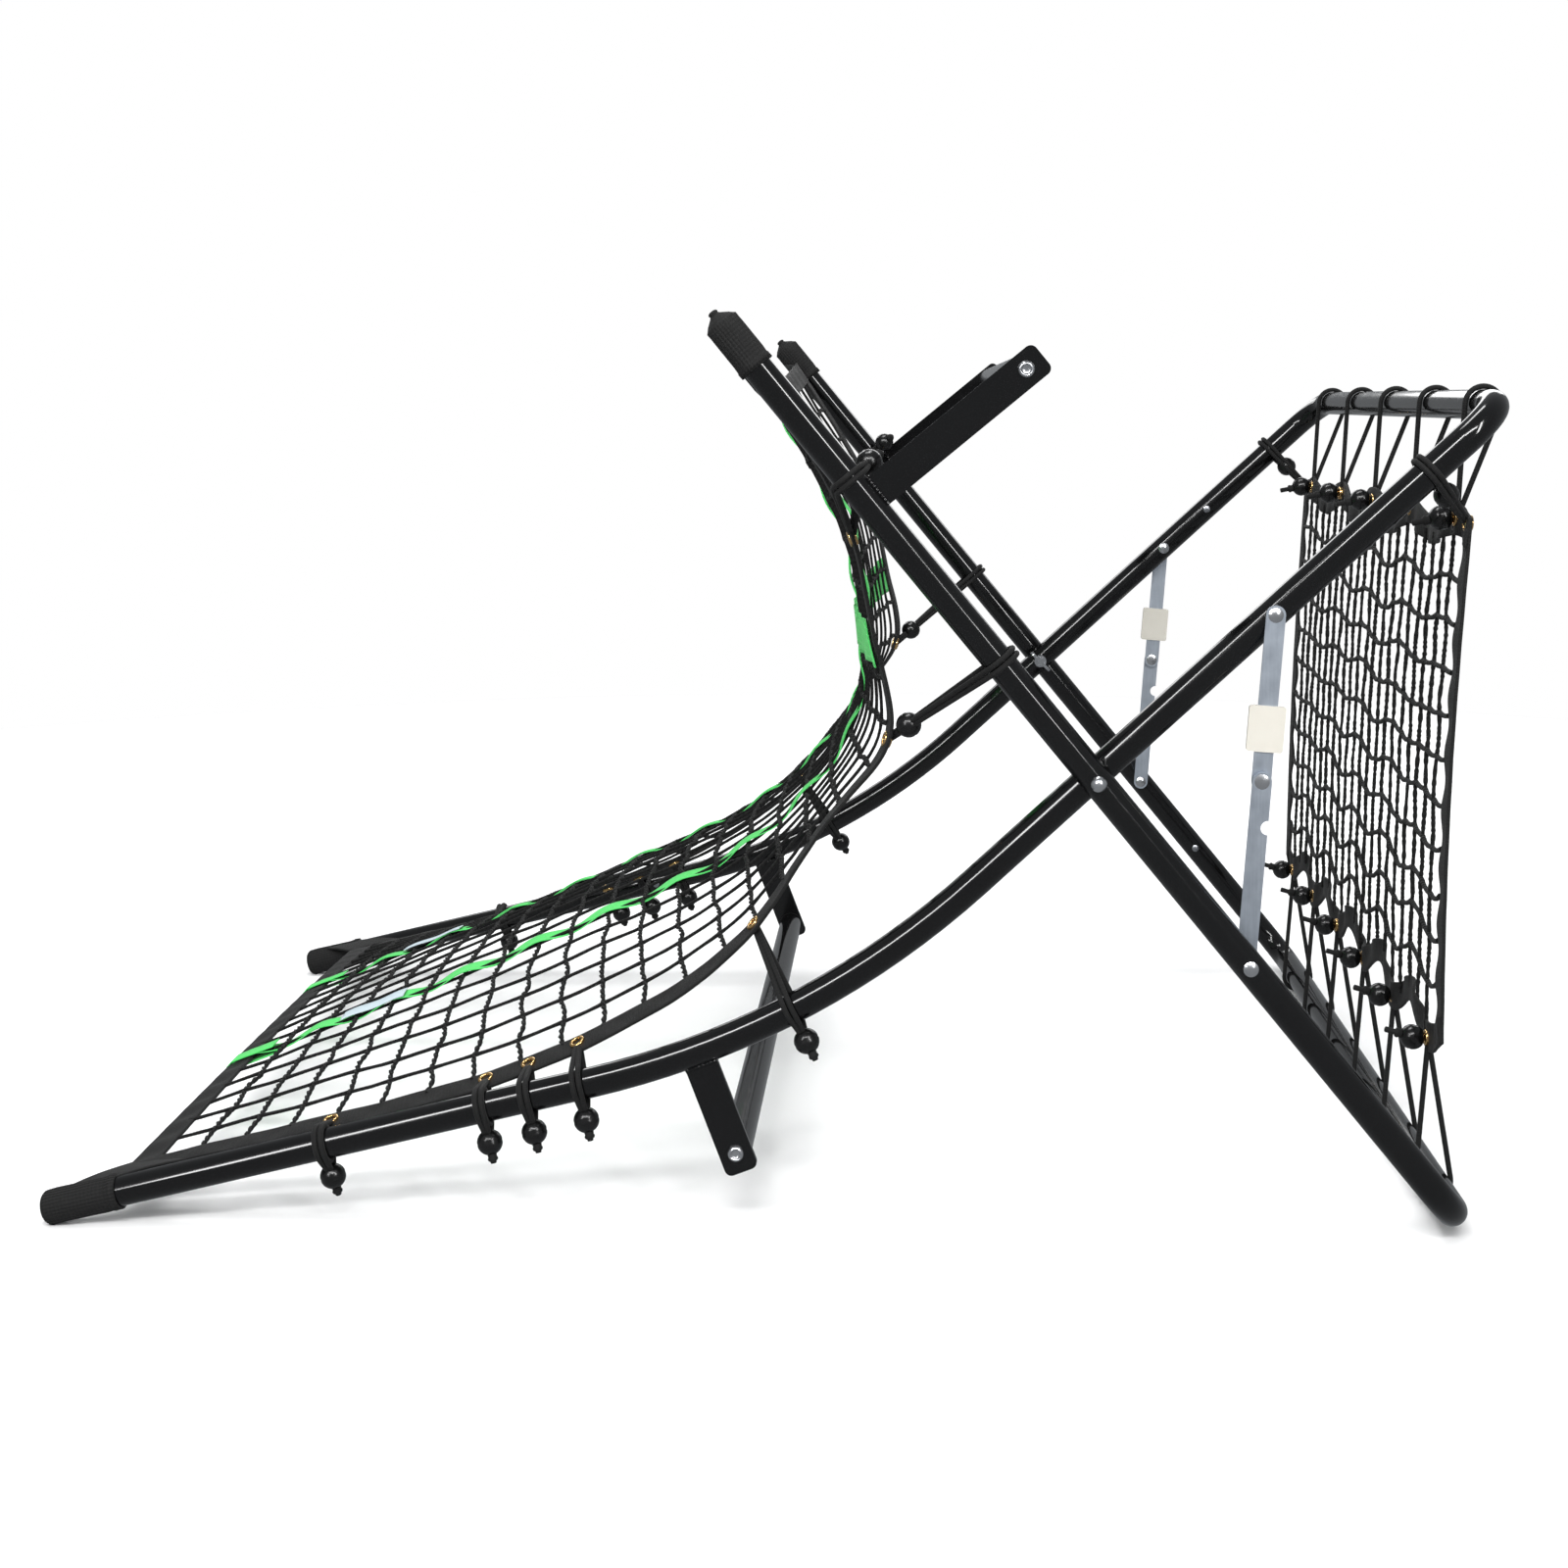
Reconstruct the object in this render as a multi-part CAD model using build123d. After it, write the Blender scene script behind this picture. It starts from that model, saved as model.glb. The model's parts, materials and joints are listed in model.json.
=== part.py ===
from build123d import *
from math import acos, atan2, cos, degrees, pi, radians, sin, tan
import os

# Pitch back rebounder. +X points from the ramp's toe to the crossbars, +Y from the near side to
# the far side, +Z up. The origin is on the ground, under the middle of the frame. All in mm.

# Tubes
tube_od = 25.4
tube_wall = 1.5
spigot_wall = 1.4
spigot_clearance = 0.15
spigot_length = 45.0
spigot_collar = 3.0
crossbar_bend = 42.0

# Outer frame: short and straight, its crossbar on the ground
outer_width = 900.0
outer_slope = 50.6
pivot_to_outer_crossbar = 470.4
pivot_to_outer_top = 473.0
pivot_to_outer_joint = 266.0

# Inner frame: long, straight above the pivot and curved down to its toe
side_gap = 10.0
upper_slope = 42.6
toe_slope = 13.45
toe_run = 651.0
leg_bend = 720.0
pivot_to_inner_crossbar = 448.8
pivot_to_inner_joint = 232.0
toe_joint_before_bend = 8.0

# Fasteners
pivot_bolt_d = 8.0
pivot_head_d = 13.0
pivot_head_h = 4.5
running_gap = 0.1
seat_gap = 0.3
bush_od = 17.0
nut_hub_d = 14.0
nut_height = 8.0
nut_wing_span = 31.0
nut_wing_height = 12.0
nut_wing_thickness = 3.2
bolt_tail = 4.0
screw_d = 4.0
screw_head_d = 8.0
screw_head_h = 1.1
screw_past_joint = 33.0

# Stays
stay_thickness = 1.8
stay_width = 16.0
stay_washer_t = 1.7
stay_washer_d = 16.0
stay_rivet_d = 6.0
stay_head_d = 12.4
stay_head_h = 2.0
low_head_h = 1.1
pivot_to_stay_top = 197.0
pivot_to_stay_bottom = 194.0
upper_link_length = 136.0
notch_from_mid = 38.0
notch_radius = 6.0
sleeve_width = 30.0
sleeve_length = 38.0
sleeve_wall = 1.15
sleeve_gap = 0.25
sleeve_from_mid = 43.0

# Brackets
arm_width = 28.0
arm_thickness = 5.0
arm_corner = 6.0
lower_arm_reach = 109.0
lower_bracket_along = 556.0
upper_arm_reach = 182.0
upper_bracket_from_pivot = 294.0
bracket_bolt_from_end = 17.0
bracket_bolt_d = 8.0
bracket_head_d = 14.0
bracket_head_h = 4.0
plug_length = 18.0
plug_lip = 2.0

# Corner pockets of the ramp net
pocket_gap = 0.2
pocket_wall = 1.4
toe_pocket_length = 56.0
top_pocket_length = 42.0
toe_nose = 8.0
top_nose = 12.0
toe_nose_d = 19.0
top_nose_d = 9.0

# Bungees, grommets and nets
bungee_d = 5.0
bungee_gap = 0.3
ball_d = 21.4
ball_off_hem = 5.0
grommet_od = 13.5
grommet_hole = 7.6
grommet_lip = 0.4
grommet_from_edge = 12.0
net_thickness = 3.0
ramp_steps = 27
strap_thickness = 1.2
strap_gap = 2.7
strap_width = 22.0
strap_share = 0.34
cross_strap_width = 40.0
rear_net_width = 792.0
rear_net_height = 470.0
rear_net_drop = 84.0
rear_net_back = 20.0
rear_side_from_top = 14.0
rear_loop_inset = 50.0
rear_net_slope = 2.2
rear_top_loops = 5
rear_bottom_loops = 6

# Hem and middle line of the ramp net: the frame that each row stands off from, how far along
# that frame and how far off its axis the hem lies, the same for the middle, and the hem's
# distance in from the leg. Along is from the toe on the inner frame, from the pivot on the outer.
ramp_rows = [
    ("inner", 52, 8, 74, 24, 22),
    ("inner", 233, 6, 245, 52, 22),
    ("inner", 371, 9, 375, 74, 24),
    ("inner", 409, 13, 408, 80, 25),
    ("inner", 454, 21, 445, 87, 26),
    ("inner", 643, 68, 600, 101, 28),
    ("inner", 775, 116, 730, 119, 30),
    ("outer", 125, 116, 143, 147, 62),
    ("outer", 195, 72, 190, 103, 55),
    ("outer", 276, 30, 273, 55, 44),
    ("outer", 370, 10, 360, 33, 28),
    ("outer", 455, 1, 437, 20, 26),
]
# Rows with a grommet: how far past the grommet the loop goes round the tube, and where its ball
# sits, beyond the tube from the ramp and outward of it, or gripping the strands at the grommet.
ramp_grommet_rows = [
    (1, 0, (1, -0.1)),
    (2, 0, (1, 0.25)),
    (3, 0, (1, 0.2)),
    (4, 0, (1, 0.25)),
    (5, 0, (1, 0.3)),
]
ramp_upper_grommet_rows = [(7, 0, "grip"), (9, 40, (0.8, -0.8))]

# Derived places
tube_r = tube_od / 2
wrap_r = tube_r + bungee_gap + bungee_d / 2
outer_half = outer_width / 2
inner_half = outer_half - tube_od - side_gap
outer_crossbar_z = tube_r + bungee_gap + bungee_d
pivot_z = outer_crossbar_z + pivot_to_outer_crossbar * sin(radians(outer_slope))
pocket_r = tube_r + pocket_gap + pocket_wall
toe_z = pocket_r * cos(radians(toe_slope))
corner_z = toe_z + toe_run * sin(radians(toe_slope))
corner_to_pivot = (pivot_z - corner_z) / sin(radians(upper_slope))
leg_turn = radians(upper_slope - toe_slope)
leg_tangent = leg_bend * tan(leg_turn / 2)
toe_straight = toe_run - leg_tangent
bend_length = leg_bend * leg_turn
toe_joint = toe_straight - toe_joint_before_bend
reach_left = (
    corner_to_pivot * cos(radians(upper_slope))
    + toe_run * cos(radians(toe_slope))
    + (pocket_gap + pocket_wall + toe_nose) * cos(radians(toe_slope))
)
reach_right = pivot_to_inner_crossbar * cos(radians(upper_slope)) + wrap_r + bungee_d / 2
pivot_x = (reach_left - reach_right) / 2
arm_root_gap = 0.05


def turned(angle, x=1.0, z=0.0):
    """The direction (x, z) turned by an angle in the side plane, from +X towards +Z."""
    return Vector(x * cos(angle) - z * sin(angle), 0, x * sin(angle) + z * cos(angle))


pivot = Vector(pivot_x, 0, pivot_z)
upper_dir = turned(radians(upper_slope))
toe_dir = turned(radians(toe_slope))
outer_up = turned(radians(180 - outer_slope))
outer_down = outer_up * -1
leg_corner = pivot - upper_dir * corner_to_pivot
toe_end = leg_corner - toe_dir * toe_run
bend_start = toe_end + toe_dir * toe_straight
bend_centre = bend_start + turned(radians(toe_slope + 90)) * leg_bend
inner_joint = pivot + upper_dir * pivot_to_inner_joint
inner_crossbar = pivot + upper_dir * pivot_to_inner_crossbar
outer_joint = pivot + outer_down * pivot_to_outer_joint
outer_crossbar = pivot + outer_down * pivot_to_outer_crossbar
outer_top = pivot + outer_up * pivot_to_outer_top
stay_top = pivot + upper_dir * pivot_to_stay_top
stay_bottom = pivot + outer_down * pivot_to_stay_bottom
stay_line = (stay_bottom - stay_top).normalized()
stay_mid = stay_top + stay_line * upper_link_length
lower_link_length = (stay_bottom - stay_mid).length

# Places across the width, on one side, counted outward
inner_face = inner_half + tube_r
outer_face = outer_half - tube_r
upper_link_y = inner_face + stay_washer_t + stay_thickness / 2
lower_link_y = outer_face - stay_washer_t - stay_thickness / 2
mid_y = (upper_link_y + lower_link_y) / 2


def inner_axis(along):
    """The inner leg's axis point and its slope, at a distance from the toe end."""
    if along <= toe_straight:
        return toe_end + toe_dir * along, radians(toe_slope)
    if along <= toe_straight + bend_length:
        slope = radians(toe_slope) + (along - toe_straight) / leg_bend
        return bend_centre + turned(slope - pi / 2) * leg_bend, slope
    past = along - toe_straight - bend_length
    return leg_corner + upper_dir * (leg_tangent + past), radians(upper_slope)


def frame_point(frame, along, off):
    """A point off a leg's axis, on the side that faces the ramp."""
    if frame == "inner":
        place, slope = inner_axis(along)
        return place + turned(slope + pi / 2) * off
    return pivot + outer_up * along + turned(radians(270 - outer_slope)) * off


def rod(place, y0, y1, radius):
    """A cylinder across the frame, from y0 to y1."""
    body = Rot(90, 0, 0) * Cylinder(radius, abs(y1 - y0))
    return Pos(place.X, (y0 + y1) / 2, place.Z) * body


def dome(place, y0, side, diameter, height):
    """A domed head that stands outward from y0, along side."""
    ball_r = (diameter**2 / 4 + height**2) / (2 * height)
    ball = Pos(place.X, y0 - side * (ball_r - height), place.Z) * Sphere(ball_r)
    return ball & rod(place, y0, y0 + side * height, diameter / 2)


def straight(start, end, radius):
    """A solid round bar between two points."""
    line = Plane(origin=start, z_dir=end - start)
    return line * Cylinder(radius, (end - start).length, align=(Align.CENTER, Align.CENTER, Align.MIN))


def swept(path, radius):
    """A solid round bar along a wire."""
    return sweep(Plane(origin=path @ 0, z_dir=path % 0) * Circle(radius), path=path)


def tube(path):
    """A hollow tube along a wire."""
    return swept(path, tube_r) - swept(path, tube_r - tube_wall)


def spigot(end, direction):
    """The reduced end of a tube: a collar inside its wall and a sleeve that stands out."""
    outer_r = tube_r - tube_wall - spigot_clearance
    inside = end - direction * spigot_collar
    tip = end + direction * spigot_length
    collar = straight(inside, end, tube_r - tube_wall / 2)
    sleeve = straight(inside, tip, outer_r)
    bore = straight(inside - direction, tip + direction, outer_r - spigot_wall)
    return collar + sleeve - bore


def across(point, y):
    return Vector(point.X, y, point.Z)


def screw_places(joint, direction):
    return joint + direction * screw_past_joint


# --- inner frame ---


def inner_u_tube():
    points = [across(inner_joint, -inner_half), across(inner_crossbar, -inner_half)]
    points += [across(inner_crossbar, inner_half), across(inner_joint, inner_half)]
    body = tube(FilletPolyline(points, radius=crossbar_bend))
    for side in (-1, 1):
        body -= joint_screw_hole(screw_places(inner_joint, upper_dir), side * inner_half, -side)
    return body


def inner_leg(side):
    y = side * inner_half
    start = across(toe_end + toe_dir * toe_joint, y)
    path = FilletPolyline(start, across(leg_corner, y), across(inner_joint, y), radius=leg_bend)
    body = tube(path) + spigot(start, toe_dir * -1) + spigot(across(inner_joint, y), upper_dir)
    body -= rod(pivot, y - tube_od, y + tube_od, pivot_bolt_d / 2 + 0.05)
    body -= rod(stay_top, y - tube_od, y + tube_od, stay_rivet_d / 2 + 0.05)
    body -= joint_screw_hole(screw_places(inner_joint, upper_dir), y, -side)
    body -= joint_screw_hole(screw_places(start, toe_dir * -1), y, -side)
    return body


def inner_toe_tube(side):
    y = side * inner_half
    joint = toe_end + toe_dir * toe_joint
    body = tube(Line(across(toe_end, y), across(joint, y)))
    return body - joint_screw_hole(screw_places(joint, toe_dir * -1), y, -side)


# --- outer frame ---


def outer_u_tube():
    points = [across(outer_joint, -outer_half), across(outer_crossbar, -outer_half)]
    points += [across(outer_crossbar, outer_half), across(outer_joint, outer_half)]
    body = tube(FilletPolyline(points, radius=crossbar_bend))
    for side in (-1, 1):
        body -= joint_screw_hole(screw_places(outer_joint, outer_down), side * outer_half, -side)
    return body


def outer_leg(side):
    y = side * outer_half
    joint = across(outer_joint, y)
    body = tube(Line(across(outer_top, y), joint)) + spigot(joint, outer_down)
    body -= rod(pivot, y - tube_od, y + tube_od, pivot_bolt_d / 2 + running_gap)
    body -= rod(stay_bottom, y - tube_od, y + tube_od, stay_rivet_d / 2 + 0.05)
    return body - joint_screw_hole(screw_places(outer_joint, outer_down), y, -side)


# --- fasteners of the frames ---


def joint_screw_hole(place, y, facing):
    """The hole through one wall of a joint, on the face that faces inward."""
    return rod(place, y, y + facing * tube_od, screw_d / 2 + 0.05)


def joint_screw(place, y, facing):
    """A screw through the tube's wall into the spigot, its head on the inward face."""
    seat = y + facing * (tube_r + 0.02)
    tip = y + facing * (tube_r - tube_wall - spigot_clearance - spigot_wall - 1)
    return rod(place, tip, seat, screw_d / 2) + dome(place, seat, facing, screw_head_d, screw_head_h)


def inner_joint_screws():
    place = screw_places(inner_joint, upper_dir)
    return [joint_screw(place, side * inner_half, -side) for side in (-1, 1)]


def toe_snap_buttons():
    """Spring buttons that hold the toe tubes on the legs' spigots."""
    place = screw_places(toe_end + toe_dir * toe_joint, toe_dir * -1)
    return [joint_screw(place, side * inner_half, -side) for side in (-1, 1)]


def outer_joint_screws():
    place = screw_places(outer_joint, outer_down)
    return [joint_screw(place, side * outer_half, -side) for side in (-1, 1)]


def tube_plug(end, direction):
    """A plug pushed into a tube's open end; direction points out of the tube."""
    body = straight(end - direction * plug_length, end, tube_r - tube_wall - 0.05)
    return body + straight(end, end + direction * plug_lip, tube_r)


def toe_plugs():
    return [tube_plug(across(toe_end, side * inner_half), toe_dir * -1) for side in (-1, 1)]


def top_plugs():
    return [tube_plug(across(outer_top, side * outer_half), outer_up) for side in (-1, 1)]


def pivot_bolts():
    """Bolts through both frames: head outside the outer leg, thread out of the inner leg."""
    bolts = []
    for side in (-1, 1):
        seat = side * (outer_half + tube_r + seat_gap)
        tail = side * (inner_half - tube_r - seat_gap - nut_height - bolt_tail)
        bolt = rod(pivot, tail, seat, pivot_bolt_d / 2)
        bolts.append(bolt + dome(pivot, seat, side, pivot_head_d, pivot_head_h))
    return bolts


def pivot_bushes():
    bushes = []
    for side in (-1, 1):
        y0 = side * (inner_face + 0.02)
        y1 = side * (outer_face - seat_gap)
        bush = rod(pivot, y0, y1, bush_od / 2)
        bushes.append(bush - rod(pivot, y0 - side, y1 + side, pivot_bolt_d / 2 + 0.05))
    return bushes


def wing_nut(side):
    """A hub with two flared wings, on the inner leg's inner face."""
    y0 = side * (inner_half - tube_r - seat_gap)
    y1 = y0 - side * nut_height
    body = rod(pivot, y0, y1, nut_hub_d / 2)
    for turn in (45, 225):
        wing = Pos(nut_wing_span / 4, 0, 0) * Box(nut_wing_span / 2, nut_wing_height, nut_wing_thickness)
        wing = fillet(wing.edges().filter_by(Axis.Z).group_by(Axis.X)[-1], nut_wing_height * 0.42)
        y_mid = y1 - side * (nut_wing_height / 2 - nut_height + 3)
        body += Pos(pivot.X, y_mid, pivot.Z) * Rot(0, turn, 0) * wing
    return body - rod(pivot, y0 + side * 20, y1 - side * 20, pivot_bolt_d / 2 + running_gap)


# --- stays ---


def link_bar(start, end, y):
    """A flat bar with round ends and a rivet hole at each end."""
    middle = (start + end) / 2
    length = (end - start).length
    angle = degrees(atan2((end - start).Z, (end - start).X))
    bar = extrude(SlotCenterToCenter(length, stay_width), amount=stay_thickness / 2, both=True)
    place = Pos(middle.X, y, middle.Z) * Rot(0, -angle, 0) * Rot(90, 0, 0)
    body = place * bar
    for hole in (start, end):
        body -= rod(hole, y - stay_width, y + stay_width, stay_rivet_d / 2 + running_gap)
    return body


def upper_link(side):
    return link_bar(stay_top, stay_mid, side * upper_link_y)


def lower_link(side):
    """The lower bar, with a notch that clears the outer frame's joint screw when folded."""
    y = side * lower_link_y
    edge = stay_mid + stay_line * notch_from_mid + turned(0) * (stay_width / 2)
    return link_bar(stay_mid, stay_bottom, y) - rod(edge, y - 5, y + 5, notch_radius)


def stay_top_rivets():
    """Rivets through the inner legs that carry the upper links."""
    rivets = []
    for side in (-1, 1):
        inside = side * (inner_half - tube_r - 0.02)
        outside = side * (upper_link_y + stay_thickness / 2 + running_gap)
        body = rod(stay_top, inside, outside, stay_rivet_d / 2)
        body += dome(stay_top, inside, -side, stay_head_d, stay_head_h)
        rivets.append(body + dome(stay_top, outside, side, stay_head_d, stay_head_h))
    return rivets


def stay_bottom_rivets():
    """Rivets through the outer legs that carry the lower links."""
    rivets = []
    for side in (-1, 1):
        outside = side * (outer_half + tube_r + 0.02)
        inside = side * (lower_link_y - stay_thickness / 2 - running_gap)
        body = rod(stay_bottom, inside, outside, stay_rivet_d / 2)
        body += dome(stay_bottom, inside, -side, stay_head_d, stay_head_h)
        rivets.append(body + dome(stay_bottom, outside, side, stay_head_d, stay_head_h))
    return rivets


def washer(place, y0, y1):
    ring = rod(place, y0, y1, stay_washer_d / 2)
    return ring - rod(place, y0 - 1, y1 + 1, stay_rivet_d / 2 + 0.05)


def stay_top_washers():
    y0 = inner_face + 0.02
    y1 = upper_link_y - stay_thickness / 2 - running_gap
    return [washer(stay_top, *sorted((side * y0, side * y1))) for side in (-1, 1)]


def stay_bottom_washers():
    y0 = lower_link_y + stay_thickness / 2 + running_gap
    y1 = outer_face - 0.02
    return [washer(stay_bottom, *sorted((side * y0, side * y1))) for side in (-1, 1)]


def mid_rivet_inner(side):
    """The half of the mid rivet on the upper link: a low head and a stub in the gap."""
    head = side * (upper_link_y - stay_thickness / 2)
    stub = side * (mid_y - seat_gap / 2)
    body = rod(stay_mid, head, stub, stay_rivet_d / 2 + running_gap)
    body += rod(stay_mid, side * (upper_link_y + stay_thickness / 2), stub, stay_rivet_d / 2 + 1.5)
    return body + dome(stay_mid, head, -side, stay_head_d, low_head_h)


def mid_rivet_outer(side):
    """The half of the mid rivet on the lower link, its head towards the outer leg."""
    head = side * (lower_link_y + stay_thickness / 2)
    stub = side * (mid_y + seat_gap / 2)
    body = rod(stay_mid, head, stub, stay_rivet_d / 2 + running_gap)
    body += rod(stay_mid, side * (lower_link_y - stay_thickness / 2), stub, stay_rivet_d / 2 + 1.5)
    return body + dome(stay_mid, head, side, stay_head_d, low_head_h)


def lock_sleeve(side):
    """A plastic sleeve round the upper link, parked above the mid rivet."""
    y = side * upper_link_y
    centre = stay_mid - stay_line * sleeve_from_mid
    angle = degrees(atan2(stay_line.Z, stay_line.X))
    outer = Box(sleeve_length, stay_thickness + 2 * (sleeve_gap + sleeve_wall), sleeve_width)
    outer = fillet(outer.edges().filter_by(Axis.Y), 2.5)
    slot = Box(
        sleeve_length + 2, stay_thickness + 2 * sleeve_gap, stay_width + 2 * sleeve_gap
    )
    return Pos(centre.X, y, centre.Z) * Rot(0, -angle, 0) * (outer - slot)


# --- brackets ---


def bracket_arm(foot, direction, reach, y, leg):
    """A flat bar that stands square off a leg, drilled near its end and cut to fit the leg."""
    bar = Box(reach, arm_thickness, arm_width, align=(Align.MIN, Align.CENTER, Align.CENTER))
    bar = fillet(bar.edges().filter_by(Axis.Y).group_by(Axis.X)[-1], arm_corner)
    angle = degrees(atan2(direction.Z, direction.X))
    bar = Pos(foot.X, y, foot.Z) * Rot(0, -angle, 0) * bar
    hole = foot + direction * (reach - bracket_bolt_from_end)
    bar -= rod(hole, y - 20, y + 20, bracket_bolt_d / 2 + 0.05)
    return bar - leg


lower_foot, lower_foot_slope = inner_axis(lower_bracket_along)
lower_arm_dir = turned(lower_foot_slope - pi / 2)
lower_bar = lower_foot + lower_arm_dir * (lower_arm_reach - bracket_bolt_from_end)
upper_foot = pivot + outer_up * upper_bracket_from_pivot
upper_arm_dir = turned(radians(90 - outer_slope))
upper_bar = upper_foot + upper_arm_dir * (upper_arm_reach - bracket_bolt_from_end)


def lower_bracket_arm(side):
    y = side * inner_half
    start = across(toe_end + toe_dir * toe_joint, y)
    path = FilletPolyline(start, across(leg_corner, y), across(inner_joint, y), radius=leg_bend)
    leg = swept(path, tube_r + arm_root_gap)
    return bracket_arm(lower_foot, lower_arm_dir, lower_arm_reach, y, leg)


def upper_bracket_arm(side):
    y = side * outer_half
    leg = straight(across(outer_top, y), across(outer_joint, y), tube_r + arm_root_gap)
    return bracket_arm(upper_foot, upper_arm_dir, upper_arm_reach, y, leg)


def bracket_crossbar(place, half_width):
    end = half_width - arm_thickness / 2 - 0.02
    return tube(Line(across(place, -end + plug_lip), across(place, end - plug_lip)))


def bracket_plugs(place, half_width):
    """Drilled plugs in the ends of a bracket's cross tube."""
    plugs = []
    for side in (-1, 1):
        end = across(place, side * (half_width - arm_thickness / 2 - 0.02 - plug_lip))
        plug = tube_plug(end, Vector(0, side, 0))
        plugs.append(plug - rod(place, end.Y - 40, end.Y + 40, bracket_bolt_d / 2 + 0.05))
    return plugs


def bracket_bolts(place, half_width):
    """Pan-head bolts through the arms into the cross tube's plugs."""
    bolts = []
    for side in (-1, 1):
        seat = side * (half_width + arm_thickness / 2 + 0.02)
        tip = side * (half_width - arm_thickness / 2 - plug_length)
        bolt = rod(place, tip, seat, bracket_bolt_d / 2)
        bolts.append(bolt + dome(place, seat, side, bracket_head_d, bracket_head_h))
    return bolts


# --- corner pockets ---


def pocket(end, direction, length, nose, nose_d):
    """A webbing pocket pulled over a tube's end, with a tapered nose; direction points out."""
    tip = end + direction * (plug_lip + pocket_gap)
    outer = straight(end - direction * length, tip, pocket_r)
    cone = Cone(
        pocket_r, nose_d / 2, nose + pocket_wall, align=(Align.CENTER, Align.CENTER, Align.MIN)
    )
    outer += Plane(origin=tip, z_dir=direction) * cone
    return outer - straight(end - direction * (length + 1), tip, tube_r + pocket_gap)


def toe_pocket(side):
    nose = toe_nose - plug_lip
    return pocket(across(toe_end, side * inner_half), toe_dir * -1, toe_pocket_length, nose, toe_nose_d)


def top_pocket(side):
    return pocket(across(outer_top, side * outer_half), outer_up, top_pocket_length, top_nose, top_nose_d)


# --- ramp net ---


def ramp_hem_width(row):
    frame, inset = row[0], row[5]
    return (inner_half if frame == "inner" else outer_half) - inset


hem_points = [across(frame_point(r[0], r[1], r[2]), ramp_hem_width(r)) for r in ramp_rows]
hem_line = Spline(hem_points)
mid_line = Spline([frame_point(r[0], r[3], r[4]) for r in ramp_rows])


def ramp_point(u, t):
    """A point of the ramp net: u runs from the toe to the top, t from hem to hem."""
    hem = hem_line @ u
    mid = mid_line @ u
    share = t * t
    return Vector(mid.X + (hem.X - mid.X) * share, t * hem.Y, mid.Z + (hem.Z - mid.Z) * share)


def ramp_normal(u, t):
    """The ramp net's direction towards the ball."""
    step = 0.002
    along = ramp_point(min(u + step, 1), t) - ramp_point(max(u - step, 0), t)
    over = ramp_point(u, min(t + step, 1)) - ramp_point(u, max(t - step, -1))
    return along.cross(over).normalized()


def ramp_face(u0, u1, t0, t1, lift):
    """A face that follows the ramp net, lifted off its middle surface."""
    rows = 1 + max(3, round(ramp_steps * (u1 - u0)))
    columns = 4 + round(4 * (t1 - t0))
    grid = []
    for i in range(rows):
        u = u0 + (u1 - u0) * i / (rows - 1)
        line = []
        for j in range(columns):
            t = t0 + (t1 - t0) * j / (columns - 1)
            line.append(ramp_point(u, t) + ramp_normal(u, t) * lift)
        grid.append(line)
    return Face.make_surface_from_array_of_points(grid)


def ramp_skin(u0, u1, t0, t1, lift, thickness):
    """A sheet of one thickness that follows the ramp net."""
    upper = ramp_face(u0, u1, t0, t1, lift + thickness / 2)
    lower = ramp_face(u0, u1, t0, t1, lift - thickness / 2)
    walls = []
    for edge in upper.edges():
        partner = min(lower.edges(), key=lambda other: (other @ 0.5 - edge @ 0.5).length)
        walls.append(Face.make_surface_from_curves(edge, partner))
    return Solid(Shell([upper, lower, *walls]))


def grommet_spot(row, side):
    """Where a ramp grommet sits, and the net's direction there."""
    u = hem_line.param_at_point(hem_points[row])
    t = side * (1 - grommet_from_edge / hem_points[row].Y)
    return ramp_point(u, t), ramp_normal(u, t)


def grommet_ring(place, normal):
    """A brass ring, rolled over both faces of the hem."""
    frame = Plane(origin=place, z_dir=normal)
    height = net_thickness + 2 * grommet_lip
    return frame * (Cylinder(grommet_od / 2, height) - Cylinder(grommet_hole / 2, height + 2))


def ramp_spots(rows):
    return [(*spot, side) for spot in rows for side in (-1, 1)]


def ramp_net():
    body = ramp_skin(0, 1, -1, 1, 0, net_thickness)
    for row, _, _, side in ramp_spots(ramp_grommet_rows + ramp_upper_grommet_rows):
        place, normal = grommet_spot(row, side)
        hole = Cylinder(grommet_od / 2 + 0.2, 8 * net_thickness)
        body -= Plane(origin=place, z_dir=normal) * hole
    return body


def ramp_grommets():
    rings = []
    for row, _, _, side in ramp_spots(ramp_grommet_rows + ramp_upper_grommet_rows):
        rings.append(grommet_ring(*grommet_spot(row, side)))
    return rings


def ramp_straps():
    """The two green straps that run from the toe to the top."""
    lift = net_thickness / 2 + strap_thickness / 2 + strap_gap
    half = strap_width / (2 * hem_points[0].Y)
    return [
        ramp_skin(1 / ramp_steps, 1 - 1 / ramp_steps, t - half, t + half, lift, strap_thickness)
        for t in (-strap_share, strap_share)
    ]


def ramp_cross_strap():
    """The wide green strap across the ramp, near its top."""
    u = hem_line.param_at_point(hem_points[8])
    half = cross_strap_width / (2 * hem_line.length)
    lift = net_thickness / 2 + 1.5 * strap_thickness + 1.5 * strap_gap
    edge = 1 - 2.2 * grommet_from_edge / hem_points[8].Y
    return ramp_skin(u - half, u + half, -edge, edge, lift, strap_thickness)


# --- bungees ---


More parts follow.
